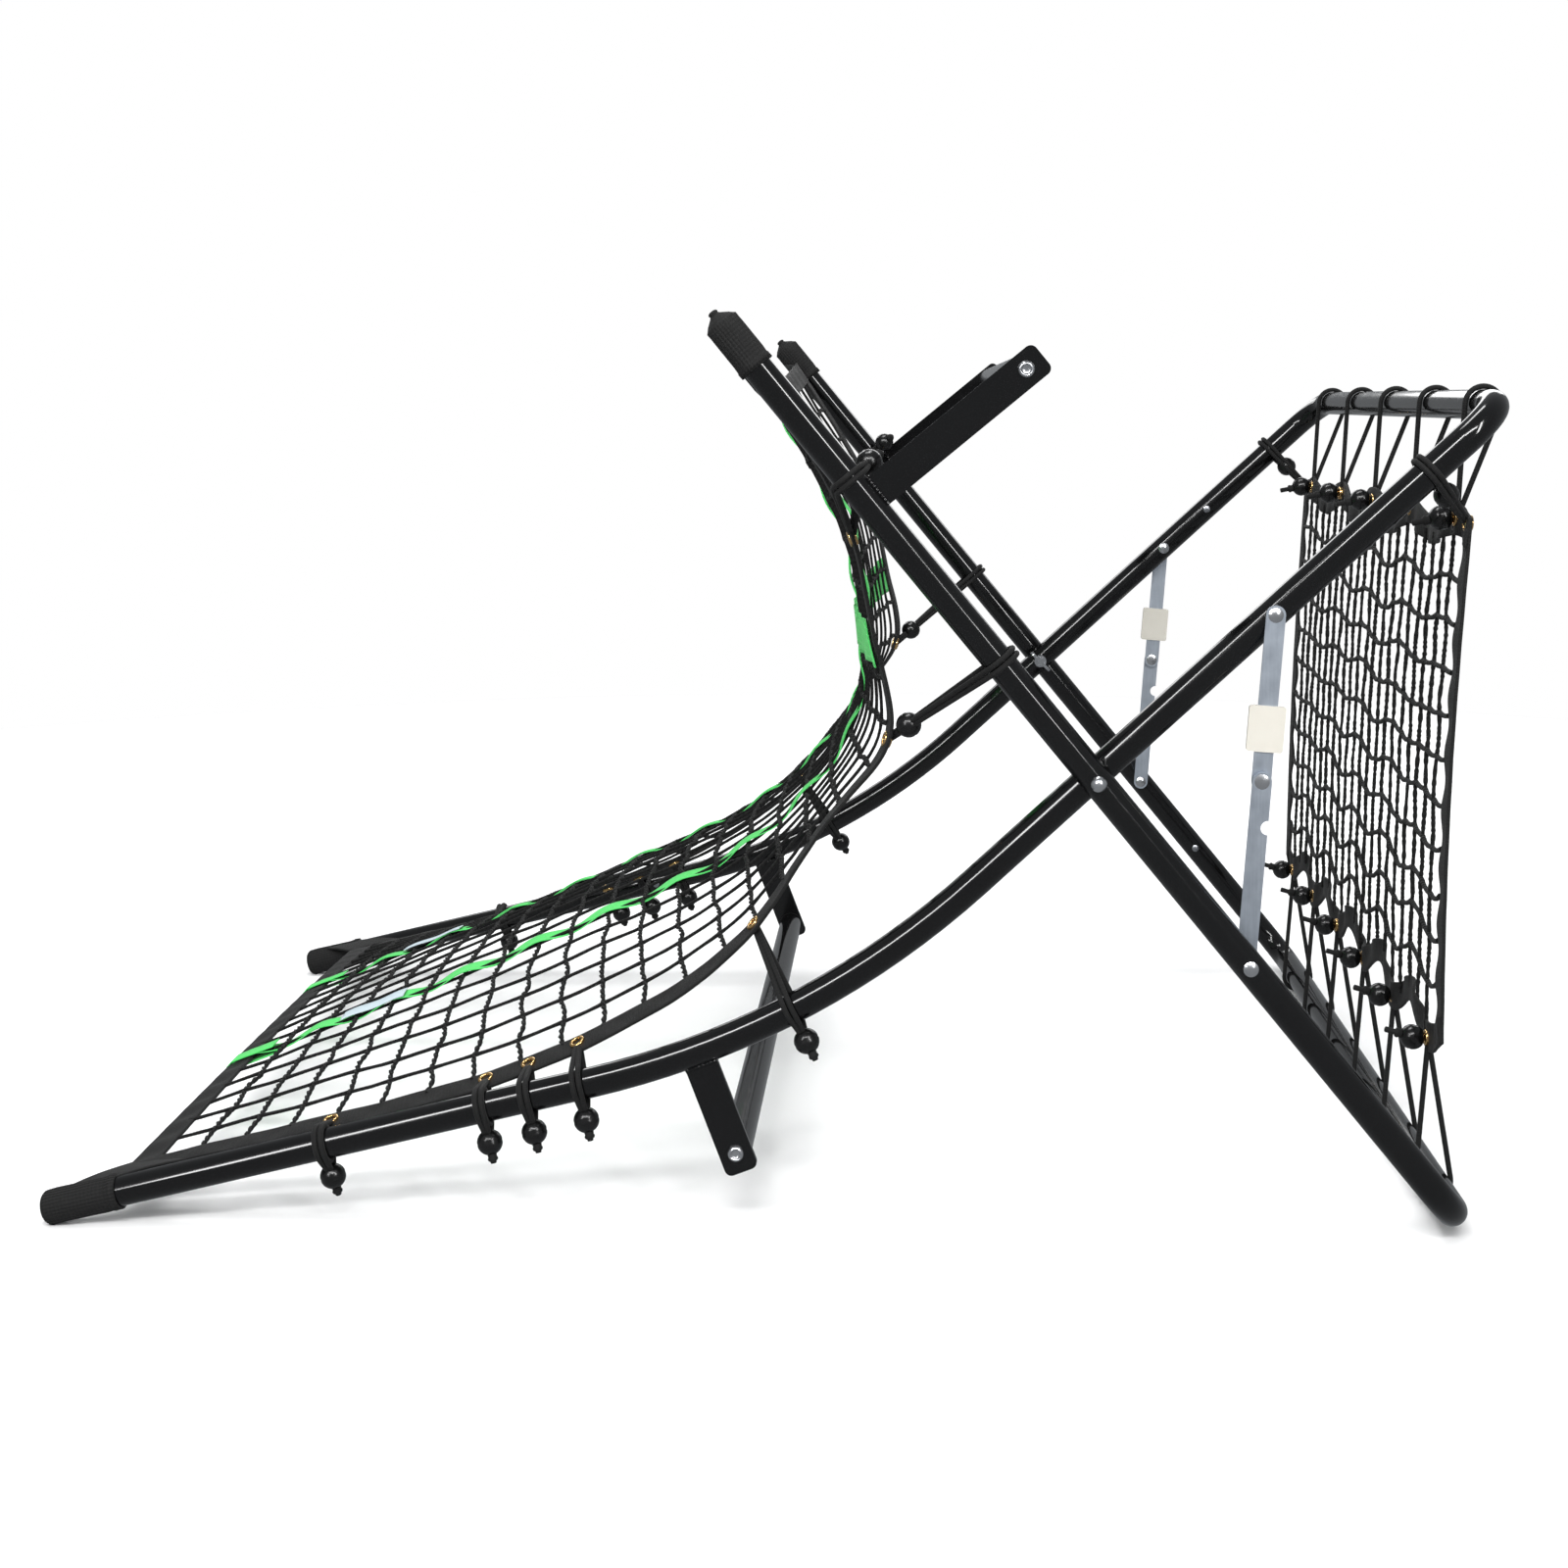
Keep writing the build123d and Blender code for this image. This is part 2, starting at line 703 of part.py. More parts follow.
def bungee_loop(centre, axis, target, reach_in):
    """An elastic loop: two strands from beside the grommet and an arc round the tube."""
    towards = target - centre
    towards = (towards - axis * towards.dot(axis)).normalized()
    distance = (target - centre).dot(towards) - reach_in
    half = bungee_d / 2 + 0.5
    start = Vector(distance, half, 0)
    touch = atan2(half, distance) + acos(wrap_r / start.length)
    on_tube = Vector(wrap_r * cos(touch), wrap_r * sin(touch), 0)
    back = Vector(-wrap_r, 0, 0)
    wire = Wire(
        [
            Edge.make_line(start, on_tube),
            Edge.make_three_point_arc(on_tube, back, Vector(on_tube.X, -on_tube.Y, 0)),
            Edge.make_line(Vector(on_tube.X, -on_tube.Y, 0), Vector(start.X, -start.Y, 0)),
        ]
    )
    return Plane(origin=centre, x_dir=towards, z_dir=axis) * swept(wire, bungee_d / 2)


def ball_place(centre, beyond, target, seat, side):
    """Where a bungee's ball sits: gripping the strands beside the grommet, or against the tube."""
    if seat == "grip":
        return target + (centre - target).normalized() * (grommet_from_edge + ball_d / 2 + ball_off_hem)
    off = beyond * seat[0] + Vector(0, side, 0) * seat[1]
    stand = wrap_r + bungee_d / 2 + ball_d / 2 + bungee_gap
    return centre + off.normalized() * stand


def ramp_bungees(rows):
    """Loops and ball centres of one set of ramp bungees."""
    loops, balls = [], []
    for row, past, seat, side in ramp_spots(rows):
        frame, along = ramp_rows[row][0], ramp_rows[row][1] + past
        if frame == "inner":
            point, slope = inner_axis(along)
            centre = across(point, side * inner_half)
            axis, beyond = turned(slope), turned(slope - pi / 2)
        else:
            centre = across(pivot + outer_up * along, side * outer_half)
            axis, beyond = outer_up, upper_arm_dir
        target = grommet_spot(row, side)[0]
        loops.append(bungee_loop(centre, axis, target, grommet_from_edge + bungee_d + past / 3))
        balls.append(ball_place(centre, beyond, target, seat, side))
    return loops, balls


def balls_at(places):
    return [Pos(p.X, p.Y, p.Z) * Sphere(ball_d / 2) for p in places]


# --- rear net ---

rear_down = turned(radians(-90 - rear_net_slope))
rear_away = turned(radians(180 - rear_net_slope))
rear_top = inner_crossbar + Vector(-rear_net_back, 0, -rear_net_drop)
rear_bottom = rear_top + rear_down * rear_net_height
rear_half = rear_net_width / 2


def rear_loop_ys(count):
    """Places of a row of loops, spread evenly across the rear net."""
    span = rear_half - rear_loop_inset
    return [-span + 2 * span * i / (count - 1) for i in range(count)]


def rear_top_spots():
    level = rear_top + rear_down * grommet_from_edge
    return [across(level, y) for y in rear_loop_ys(rear_top_loops)]


def rear_bottom_spots():
    level = rear_bottom - rear_down * grommet_from_edge
    return [across(level, y) for y in rear_loop_ys(rear_bottom_loops)]


def rear_side_spots():
    level = rear_top + rear_down * rear_side_from_top
    return [across(level, side * (rear_half - grommet_from_edge)) for side in (-1, 1)]


def rear_net():
    middle = (rear_top + rear_bottom) / 2
    sheet = Box(net_thickness, rear_net_width, rear_net_height)
    body = Plane(origin=middle, x_dir=rear_away, z_dir=rear_down * -1) * sheet
    for place in rear_top_spots() + rear_bottom_spots() + rear_side_spots():
        body -= Plane(origin=place, z_dir=rear_away) * Cylinder(grommet_od / 2 + 0.2, 20)
    return body


def rear_grommets():
    spots = rear_top_spots() + rear_bottom_spots() + rear_side_spots()
    return [grommet_ring(place, rear_away) for place in spots]


def rear_bungees(spots, bar, axis):
    """Loops from a row of rear grommets to a tube, with a ball on the hem at each."""
    reach_in = grommet_from_edge + bungee_d
    loops = [bungee_loop(across(bar, p.Y), axis, p, reach_in) for p in spots]
    stand = net_thickness / 2 + ball_d / 2 + 1.5
    return loops, [p + rear_away * stand for p in spots]


def rear_side_bungees():
    """Loops from the rear net's top corners to the inner legs, each with its ball under the leg."""
    loops, balls = [], []
    for place, side in zip(rear_side_spots(), (-1, 1)):
        along = (place - pivot).dot(upper_dir)
        centre = across(pivot + upper_dir * along, side * inner_half)
        loops.append(bungee_loop(centre, upper_dir, place, grommet_from_edge + bungee_d))
        towards = (place - centre).normalized()
        balls.append(centre + towards * (wrap_r + bungee_d / 2 + ball_d / 2 + bungee_gap))
    return loops, balls


# --- the whole object ---


def build_nodes():
    """Every node's name and its solid or list of solids."""
    cross = Vector(0, 1, 0)
    low_loops, low_balls = ramp_bungees(ramp_grommet_rows)
    high_loops, high_balls = ramp_bungees(ramp_upper_grommet_rows)
    top_loops, top_balls = rear_bungees(rear_top_spots(), inner_crossbar, cross)
    bottom_loops, bottom_balls = rear_bungees(rear_bottom_spots(), outer_crossbar, cross)
    side_loops, side_balls = rear_side_bungees()
    nodes = {
        "inner_u_tube": inner_u_tube(),
        "outer_u_tube": outer_u_tube(),
        "inner_joint_screws": inner_joint_screws(),
        "outer_joint_screws": outer_joint_screws(),
        "toe_snap_buttons": toe_snap_buttons(),
        "toe_plugs": toe_plugs(),
        "top_plugs": top_plugs(),
        "pivot_bolts": pivot_bolts(),
        "pivot_bushes": pivot_bushes(),
        "stay_top_rivets": stay_top_rivets(),
        "stay_bottom_rivets": stay_bottom_rivets(),
        "stay_top_washers": stay_top_washers(),
        "stay_bottom_washers": stay_bottom_washers(),
        "lower_bracket_tube": bracket_crossbar(lower_bar, inner_half),
        "lower_bracket_plugs": bracket_plugs(lower_bar, inner_half),
        "lower_bracket_bolts": bracket_bolts(lower_bar, inner_half),
        "upper_bracket_tube": bracket_crossbar(upper_bar, outer_half),
        "upper_bracket_plugs": bracket_plugs(upper_bar, outer_half),
        "upper_bracket_bolts": bracket_bolts(upper_bar, outer_half),
        "ramp_net": ramp_net(),
        "ramp_grommets": ramp_grommets(),
        "ramp_green_straps": ramp_straps(),
        "ramp_green_cross_strap": ramp_cross_strap(),
        "ramp_lower_bungees": low_loops,
        "ramp_lower_balls": balls_at(low_balls),
        "ramp_upper_bungees": high_loops,
        "ramp_upper_balls": balls_at(high_balls),
        "rear_net": rear_net(),
        "rear_grommets": rear_grommets(),
        "rear_top_bungees": top_loops + side_loops,
        "rear_top_balls": balls_at(top_balls + side_balls),
        "rear_bottom_bungees": bottom_loops,
        "rear_bottom_balls": balls_at(bottom_balls),
    }
    for name, side in (("near", -1), ("far", 1)):
        nodes["inner_leg_" + name] = inner_leg(side)
        nodes["inner_toe_tube_" + name] = inner_toe_tube(side)
        nodes["outer_leg_" + name] = outer_leg(side)
        nodes["wing_nut_" + name] = wing_nut(side)
        nodes["stay_upper_link_" + name] = upper_link(side)
        nodes["stay_lower_link_" + name] = lower_link(side)
        nodes["stay_mid_rivet_inner_" + name] = mid_rivet_inner(side)
        nodes["stay_mid_rivet_outer_" + name] = mid_rivet_outer(side)
        nodes["lock_sleeve_" + name] = lock_sleeve(side)
        nodes["lower_bracket_arm_" + name] = lower_bracket_arm(side)
        nodes["upper_bracket_arm_" + name] = upper_bracket_arm(side)
        nodes["toe_pocket_" + name] = toe_pocket(side)
        nodes["top_pocket_" + name] = top_pocket(side)
    return nodes


os.makedirs("parts", exist_ok=True)
for name, body in build_nodes().items():
    solids = []
    for piece in body if isinstance(body, list) else [body]:
        solids += piece.solids()
    export_step(solids[0] if len(solids) == 1 else Compound(children=solids), f"parts/{name}.step")
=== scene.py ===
import json
import math

import bmesh
import bpy
import numpy as np
from mathutils import Matrix, Vector


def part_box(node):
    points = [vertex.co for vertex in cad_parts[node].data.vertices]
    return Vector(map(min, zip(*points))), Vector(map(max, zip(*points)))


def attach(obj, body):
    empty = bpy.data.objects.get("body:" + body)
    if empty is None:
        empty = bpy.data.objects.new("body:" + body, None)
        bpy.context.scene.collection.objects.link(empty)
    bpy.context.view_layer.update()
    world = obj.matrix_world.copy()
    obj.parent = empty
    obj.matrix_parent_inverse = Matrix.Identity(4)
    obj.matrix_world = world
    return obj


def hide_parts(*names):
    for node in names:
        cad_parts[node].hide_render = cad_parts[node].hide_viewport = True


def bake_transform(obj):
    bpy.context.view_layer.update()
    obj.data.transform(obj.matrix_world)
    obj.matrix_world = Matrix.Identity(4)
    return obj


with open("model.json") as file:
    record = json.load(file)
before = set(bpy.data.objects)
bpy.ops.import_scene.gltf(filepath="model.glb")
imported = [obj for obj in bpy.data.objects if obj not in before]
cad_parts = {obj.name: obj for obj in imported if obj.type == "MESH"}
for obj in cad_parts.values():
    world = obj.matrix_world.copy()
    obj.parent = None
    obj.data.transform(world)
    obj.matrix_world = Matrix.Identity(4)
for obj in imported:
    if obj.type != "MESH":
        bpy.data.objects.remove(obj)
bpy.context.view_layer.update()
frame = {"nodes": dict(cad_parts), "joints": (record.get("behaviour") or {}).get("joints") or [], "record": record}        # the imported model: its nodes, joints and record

noiseDraw = np.random.default_rng(7)
print("frame loaded")

# the legs' slopes in degrees, and the long bend of the inner legs, in metres
legs = {
    "upperSlope": 42.6,
    "toeSlope": 13.45,
    "outerSlope": 50.6,
    "bend": 0.72,
    "tube": 0.0127,
}
bothSides = ((-1, "Near"), (1, "Far"))


def turned(degreesUp):
    # a unit direction in the side view, turned up from the X axis
    a = math.radians(degreesUp)
    return Vector((math.cos(a), 0, math.sin(a)))


def sideOf(node):
    low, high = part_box(node)
    return abs(low.y + high.y) / 2


def tubeEnd(node, slope, up):
    # the axis point at the low x end of a leg that leans by the slope
    low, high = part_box(node)
    tube, s = legs["tube"], math.radians(slope)
    z = low.z + tube * math.cos(s) if up else high.z - tube * math.cos(s)
    return Vector((low.x + tube * math.sin(s), 0, z))


def measureFrame():
    tube, toe, upper = legs["tube"], legs["toeSlope"], legs["upperSlope"]
    fold = next(joint for joint in frame["joints"] if joint["name"] == "frame_fold")
    place = {
        "pivot": Vector(fold["pos_m"]),
        "innerHalf": sideOf("inner_toe_tube_near"),
        "outerHalf": sideOf("outer_leg_near"),
        "toeEnd": tubeEnd("inner_toe_tube_near", toe, True),
        "outerTop": tubeEnd("outer_leg_near", legs["outerSlope"], False),
    }
    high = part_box("inner_u_tube")[1]
    place["innerBar"] = Vector((high.x - tube, 0, high.z - tube))
    low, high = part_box("outer_u_tube")
    place["outerBar"] = Vector((high.x - tube, 0, low.z + tube))
    # the corner where the toe's line meets the upper leg's line
    a, b = turned(toe), turned(upper)
    gap = place["pivot"] - place["toeEnd"]
    toCorner = (gap.x * b.z - gap.z * b.x) / (a.x * b.z - a.z * b.x)
    place["corner"] = place["toeEnd"] + a * toCorner
    turn = math.radians(upper - toe)
    place["tangent"] = legs["bend"] * math.tan(turn / 2)
    place["straight"] = toCorner - place["tangent"]
    place["bendLength"] = legs["bend"] * turn
    return place


spots = measureFrame()
outerUp = turned(180 - legs["outerSlope"])
upperDir = turned(legs["upperSlope"])


def innerAxis(along):
    # the inner leg's axis point and slope in degrees, by its distance from the toe end
    toe, upper = legs["toeSlope"], legs["upperSlope"]
    if along <= spots["straight"]:
        return spots["toeEnd"] + turned(toe) * along, toe
    past = along - spots["straight"]
    if past <= spots["bendLength"]:
        slope = toe + math.degrees(past / legs["bend"])
        start = spots["toeEnd"] + turned(toe) * spots["straight"]
        return start + turned(toe + 90) * legs["bend"] + turned(slope - 90) * legs["bend"], slope
    return spots["corner"] + turned(upper) * (spots["tangent"] + past - spots["bendLength"]), upper


def standOff(leg, along, off):
    if leg == "inner":
        place, slope = innerAxis(along)
        return place + turned(slope + 90) * off
    return spots["pivot"] + outerUp * along + turned(270 - legs["outerSlope"]) * off


def atSide(place, y):
    return Vector((place.x, y, place.z))


def middleOf(node):
    # the middle of a node's box, on the mirror plane
    low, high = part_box(node)
    return Vector(((low.x + high.x) / 2, 0, (low.z + high.z) / 2))


# the camera stands in front of the near side, turned a little
view = {
    "place": (0.1177, -2.2599, 0.6889),
    "turn": (86.236, 0, 0.963),
    "lens": 51.89,
    "shift": (-0.06, -0.15),
}


def addCamera():
    camera = bpy.data.objects.new("camera", bpy.data.cameras.new("camera"))
    camera.data.lens = view["lens"]
    camera.data.sensor_width = 36
    camera.data.shift_x, camera.data.shift_y = view["shift"]
    camera.location = view["place"]
    camera.rotation_euler = [math.radians(a) for a in view["turn"]]
    camera.data.clip_end = 60
    bpy.context.scene.collection.objects.link(camera)
    bpy.context.scene.camera = camera


addCamera()


class Wire:
    # a socket whose sums and products add Math nodes
    tree = None

    def __init__(self, socket):
        self.socket = socket

    @classmethod
    def node(cls, kind, settings=None, out=0, **inputs):
        made = cls.tree.nodes.new(kind)
        for key, value in (settings or {}).items():
            setattr(made, key, value)
        for key, value in inputs.items():
            # i0, i1 and so on are sockets by number, and any other key is a socket's name
            socket = made.inputs[int(key[1:]) if key[1:].isdigit() else key]
            if isinstance(value, Wire):
                cls.tree.links.new(value.socket, socket)
            else:
                socket.default_value = value
        return cls(made.outputs[out])

    @classmethod
    def sum(cls, operation, *values):
        inputs = {f"i{number}": value for number, value in enumerate(values)}
        return cls.node("ShaderNodeMath", {"operation": operation}, **inputs)

    def sine(self):
        return self.sum("SINE", self)

    def limited(self, low, high):
        span = {"i1": low, "i2": high, "i3": 0.0, "i4": 1.0}
        return Wire.node("ShaderNodeMapRange", {"clamp": True}, i0=self, **span)


for sign, operation in (("add", "ADD"), ("sub", "SUBTRACT"), ("mul", "MULTIPLY")):
    setattr(Wire, f"__{sign}__", lambda self, other, op=operation: Wire.sum(op, self, other))
    setattr(Wire, f"__r{sign}__", lambda self, other, op=operation: Wire.sum(op, other, self))


def objectSpot():
    return Wire.node("ShaderNodeTexCoord", out="Object")


def noise(spot, scale, detail=3.0, rough=0.55):
    return Wire.node("ShaderNodeTexNoise", Vector=spot, Scale=scale, Detail=detail, Roughness=rough)


def stretched(spot, x, y, z):
    return Wire.node("ShaderNodeMapping", Vector=spot, Scale=(x, y, z))


def uvParts():
    spot = Wire.node("ShaderNodeTexCoord", out="UV")
    node = Wire.node("ShaderNodeSeparateXYZ", i0=spot).socket.node
    return Wire(node.outputs[0]), Wire(node.outputs[1])


def waves(phase):
    # a value on the surface that swings between 0 and 1
    return phase.sine() * 0.5 + 0.5


def grey(value):
    return (value, value, value)


def mixed(amount, low, high):
    return Wire.node(
        "ShaderNodeMix", {"data_type": "RGBA"}, out=2, i0=amount, i6=(*low, 1), i7=(*high, 1)
    )


def raised(height, strength, distance):
    return Wire.node("ShaderNodeBump", Strength=strength, Distance=distance, Height=height)


def finish(color, rough, metal=0.0, bump=None, **fixed):
    surface = Wire.tree.nodes.new("ShaderNodeBsdfPrincipled")
    out = Wire.tree.nodes.new("ShaderNodeOutputMaterial")
    Wire.tree.links.new(surface.outputs[0], out.inputs[0])
    changing = {"Base Color": color, "Roughness": rough, "Metallic": metal, "Normal": bump}
    for key, value in changing.items():
        if isinstance(value, Wire):
            Wire.tree.links.new(value.socket, surface.inputs[key])
        elif value is not None:
            surface.inputs[key].default_value = value
    for key, value in fixed.items():
        surface.inputs[key.replace("_", " ")].default_value = value


def newMaterial(name):
    material = bpy.data.materials.new(name)
    material.use_nodes = True
    material.node_tree.nodes.clear()
    Wire.tree = material.node_tree
    return material


def powderBlack():
    material = newMaterial("powderBlack")
    spot = objectSpot()
    cloud = noise(spot, 9.0, 4.0)
    grain = noise(spot, 1400.0, 2.0)
    handling = noise(spot, 60.0, 5.0, 0.7).limited(0.55, 0.75)
    color = mixed(cloud, (0.0010, 0.0010, 0.0011), (0.0028, 0.0028, 0.0030))
    rough = 0.10 + 0.05 * cloud + 0.08 * handling
    finish(
        color, rough, bump=raised(grain, 0.02, 0.0002),
        Coat_Weight=0.3, Coat_Roughness=0.05, Specular_IOR_Level=0.4,
    )
    return material


def moulded(name, low, high, roughLow, roughHigh):
    material = newMaterial(name)
    spot = objectSpot()
    cloud = noise(spot, 35.0, 4.0)
    grain = noise(spot, 2200.0, 2.0)
    finish(
        mixed(cloud, low, high), roughLow + (roughHigh - roughLow) * cloud,
        bump=raised(grain, 0.12, 0.0003), Specular_IOR_Level=0.5,
    )
    return material


def plated(name, low, high, roughLow, roughHigh, streaks):
    # zinc plating: cloudy patches, and fine streaks along one direction
    material = newMaterial(name)
    spot = objectSpot()
    cloud = noise(spot, 70.0, 4.0, 0.65)
    streak = noise(stretched(spot, *streaks), 60.0, 3.0, 0.6)
    blend = 0.55 * cloud + 0.45 * streak
    finish(
        mixed(blend, low, high), roughLow + (roughHigh - roughLow) * blend, 1.0,
        bump=raised(streak, 0.12, 0.0004),
    )
    return material


def braidBlack(name, turnsPerMetre, strandsRound, low, high, depth):
    # cord: UV x runs along in metres, y round from 0 to 1
    material = newMaterial(name)
    along, around = uvParts()
    lengthwise, crosswise = along * (turnsPerMetre * math.tau), around * (strandsRound * math.tau)
    braid = (lengthwise + crosswise).sine() * (lengthwise - crosswise).sine() * 0.5 + 0.5
    fuzz = noise(objectSpot(), 900.0, 3.0, 0.7)
    blend = 0.6 * braid + 0.4 * fuzz
    finish(
        mixed(blend, low, high), 0.62 + 0.3 * fuzz,
        bump=raised(braid + 0.35 * fuzz, 0.75, depth),
        Sheen_Weight=0.03, Sheen_Roughness=0.5, Specular_IOR_Level=0.3,
    )
    return material


def twistBlack(name, turnsPerMetre, depth):
    material = newMaterial(name)
    along, around = uvParts()
    lay = (along * (turnsPerMetre * math.tau) + around * math.tau).sine()
    fuzz = noise(objectSpot(), 1100.0, 3.0, 0.7)
    blend = 0.5 * (lay * 0.5 + 0.5) + 0.5 * fuzz
    finish(
        mixed(blend, grey(0.0012), (0.0065, 0.0065, 0.0063)), 0.66 + 0.28 * fuzz,
        bump=raised(lay * 0.5 + 0.5 * fuzz, 0.8, depth),
        Sheen_Weight=0.03, Sheen_Roughness=0.5, Specular_IOR_Level=0.25,
    )
    return material


def webbing(name, ribsPerMetre, low, high, sheen=0.12):
    # woven tape: UV x across and y along, in metres; ribs lie across it, with a fine weave between
    material = newMaterial(name)
    across, along = uvParts()
    weave = waves(along * (ribsPerMetre * math.tau)) * 0.7 + waves(across * (2400 * math.tau)) * 0.3
    fuzz = noise(objectSpot(), 700.0, 3.0, 0.7)
    worn = noise(objectSpot(), 28.0, 3.0, 0.6)
    blend = 0.45 * weave + 0.25 * fuzz + 0.3 * worn
    finish(
        mixed(blend, low, high), 0.6 + 0.3 * fuzz,
        bump=raised(weave + 0.3 * fuzz, 0.6, 0.0003),
        Sheen_Weight=sheen, Sheen_Roughness=0.45, Specular_IOR_Level=0.35,
    )
    return material


def floorPale():
    material = newMaterial("floorPale")
    cloud = noise(objectSpot(), 2.0, 2.0)
    finish(mixed(cloud, grey(0.88), grey(0.91)), 0.75)
    return material


stuff = {
    "frame": powderBlack(),
    "plug": moulded("plugBlack", grey(0.006), grey(0.014), 0.45, 0.62),
    "ball": moulded("ballBlack", grey(0.0018), grey(0.005), 0.16, 0.3),
    "ivory": moulded("sleeveIvory", (0.44, 0.42, 0.37), (0.53, 0.51, 0.46), 0.28, 0.42),
    "zinc": plated("boltZinc", (0.50, 0.51, 0.53), (0.82, 0.83, 0.85), 0.16, 0.34, (1, 1, 1)),
    "stay": plated("stayZinc", (0.42, 0.47, 0.54), (0.74, 0.80, 0.88), 0.34, 0.52, (9, 9, 0.5)),
    "screw": plated("screwZinc", (0.28, 0.29, 0.31), (0.50, 0.51, 0.54), 0.25, 0.4, (1, 1, 1)),
    "brass": plated("grommetBrass", (0.62, 0.36, 0.12), (0.93, 0.66, 0.32), 0.14, 0.3, (1, 1, 1)),
    "lengthCord": twistBlack("netCordLong", 210, 0.0006),
    "crossCord": twistBlack("netCordCross", 240, 0.0005),
    "bungee": braidBlack("bungeeBraid", 260, 5, grey(0.0015), grey(0.008), 0.0004),
    "hem": webbing("hemWebbing", 330, grey(0.0012), (0.0070, 0.0070, 0.0068), 0.03),
    "pocket": webbing("pocketWebbing", 300, grey(0.0014), (0.0080, 0.0080, 0.0078), 0.03),
    "green": webbing("strapGreen", 700, (0.030, 0.40, 0.06), (0.105, 0.68, 0.165), 0.1),
    "tab": webbing("tabPale", 500, (0.36, 0.45, 0.50), (0.50, 0.58, 0.62), 0.1),
    "floor": floorPale(),
}

slotFinish = {
    "frame_black": "frame",
    "plug_black": "plug",
    "screw_dark": "screw",
    "bolt_zinc": "zinc",
    "stay_zinc": "stay",
    "sleeve_ivory": "ivory",
    "net_black": "hem",
    "webbing_black": "pocket",
    "strap_green": "green",
    "grommet_brass": "brass",
    "bungee_black": "bungee",
    "ball_black": "ball",
}


def paintNodes():
    for part in frame["record"]["subparts"]:
        piece = frame["nodes"][part["node"]]
        piece.data.materials.clear()
        piece.data.materials.append(stuff[slotFinish[part["material_slot"]]])


paintNodes()
print("materials ready")

studio = {
    "backdrop": (1.0, 1.0, 1.0),
    "surround": (0.25, 0.26, 0.27),
    "sunWatts": 1.6,
    "sunSpread": 70,
    "lamps": [
        # place, target, width, height, watts
        ((0.0, -3.3, 2.95), (0.0, 0.0, 0.4), 2.6, 0.34, 85),
        ((2.0, -3.1, 2.25), (0.0, 0.0, 0.4), 0.34, 2.2, 62),
        ((-2.0, -3.1, 2.25), (0.0, 0.0, 0.4), 0.34, 2.2, 55),
        ((0.3, 3.0, 1.9), (0.3, 0.0, 0.6), 4.0, 1.1, 42),
        ((-0.2, 0.4, 3.4), (0.0, 0.0, 0.4), 1.6, 0.5, 30),
    ],
}


def addStudio():
    for place, target, wide, tall, watts in studio["lamps"]:
        light = bpy.data.lights.new("softbox", "AREA")
        light.shape = "RECTANGLE"
        light.size, light.size_y = wide, tall
        light.energy = watts
        lamp = bpy.data.objects.new("softbox", light)
        lamp.location = place
        lamp.rotation_euler = (Vector(target) - Vector(place)).to_track_quat("-Z", "Y").to_euler()
        lamp.visible_camera = False
        bpy.context.scene.collection.objects.link(lamp)
    sun = bpy.data.lights.new("skyPanel", "SUN")
    sun.energy = studio["sunWatts"]
    sun.angle = math.radians(studio["sunSpread"])
    panel = bpy.data.objects.new("skyPanel", sun)
    panel.rotation_euler = (math.radians(14), math.radians(-8), 0)
    panel.visible_glossy = False
    bpy.context.scene.collection.objects.link(panel)
    world = bpy.data.worlds.new("studio")
    world.use_nodes = True
    Wire.tree = world.node_tree
    Wire.tree.nodes.clear()
    seen = Wire.node("ShaderNodeBackground", Color=(*studio["backdrop"], 1))
    lit = Wire.node("ShaderNodeBackground", Color=(*studio["surround"], 1))
    straight = Wire.node("ShaderNodeLightPath", out="Is Camera Ray")
    mix = Wire.node("ShaderNodeMixShader", i0=straight, i1=lit, i2=seen)
    out = Wire.tree.nodes.new("ShaderNodeOutputWorld")
    Wire.tree.links.new(mix.socket, out.inputs[0])
    bpy.context.scene.world = world
    bpy.context.scene.view_settings.view_transform = "Standard"


addStudio()
print("studio ready")


def addPiece(name, mesh, material):
    piece = bpy.data.objects.new(name, mesh)
    bpy.context.scene.collection.objects.link(piece)
    mesh.materials.clear()
    mesh.materials.append(stuff[material])
    mesh.polygons.foreach_set("use_smooth", [True] * len(mesh.polygons))
    return piece


def meshOf(bm, name):
    mesh = bpy.data.meshes.new(name)
    bm.to_mesh(mesh)
    bm.free()
    return mesh


def lineLength(points):
    steps = np.diff(np.array(points, float), axis=0)
    return float(np.linalg.norm(steps, axis=1).sum())


def cordMesh(name, lines, radius, roundness=1, closed=False):
    # every line is its points and their radius shares or None; UV x is metres along the cord
    bm = bmesh.new()
    for points, shares in lines:
        curve = bpy.data.curves.new(name, "CURVE")
        curve.dimensions = "3D"
        curve.bevel_depth = radius
        curve.bevel_resolution = roundness
        curve.use_fill_caps = not closed
        spline = curve.splines.new("POLY")
        spline.points.add(len(points) - 1)
        flat = np.ones((len(points), 4))
        flat[:, :3] = points
        spline.points.foreach_set("co", flat.ravel())
        if shares is not None:
            spline.points.foreach_set("radius", np.asarray(shares, float))
        spline.use_cyclic_u = closed
        carrier = bpy.data.objects.new(name, curve)
        bpy.context.scene.collection.objects.link(carrier)
        mesh = bpy.data.meshes.new_from_object(carrier)
        uv = np.zeros(len(mesh.loops) * 2)
        mesh.uv_layers[0].data.foreach_get("uv", uv)
        uv[0::2] *= lineLength(points)
        mesh.uv_layers[0].data.foreach_set("uv", uv)
        bm.from_mesh(mesh)
        bpy.data.objects.remove(carrier)
        bpy.data.curves.remove(curve)
        bpy.data.meshes.remove(mesh)
    return meshOf(bm, name)


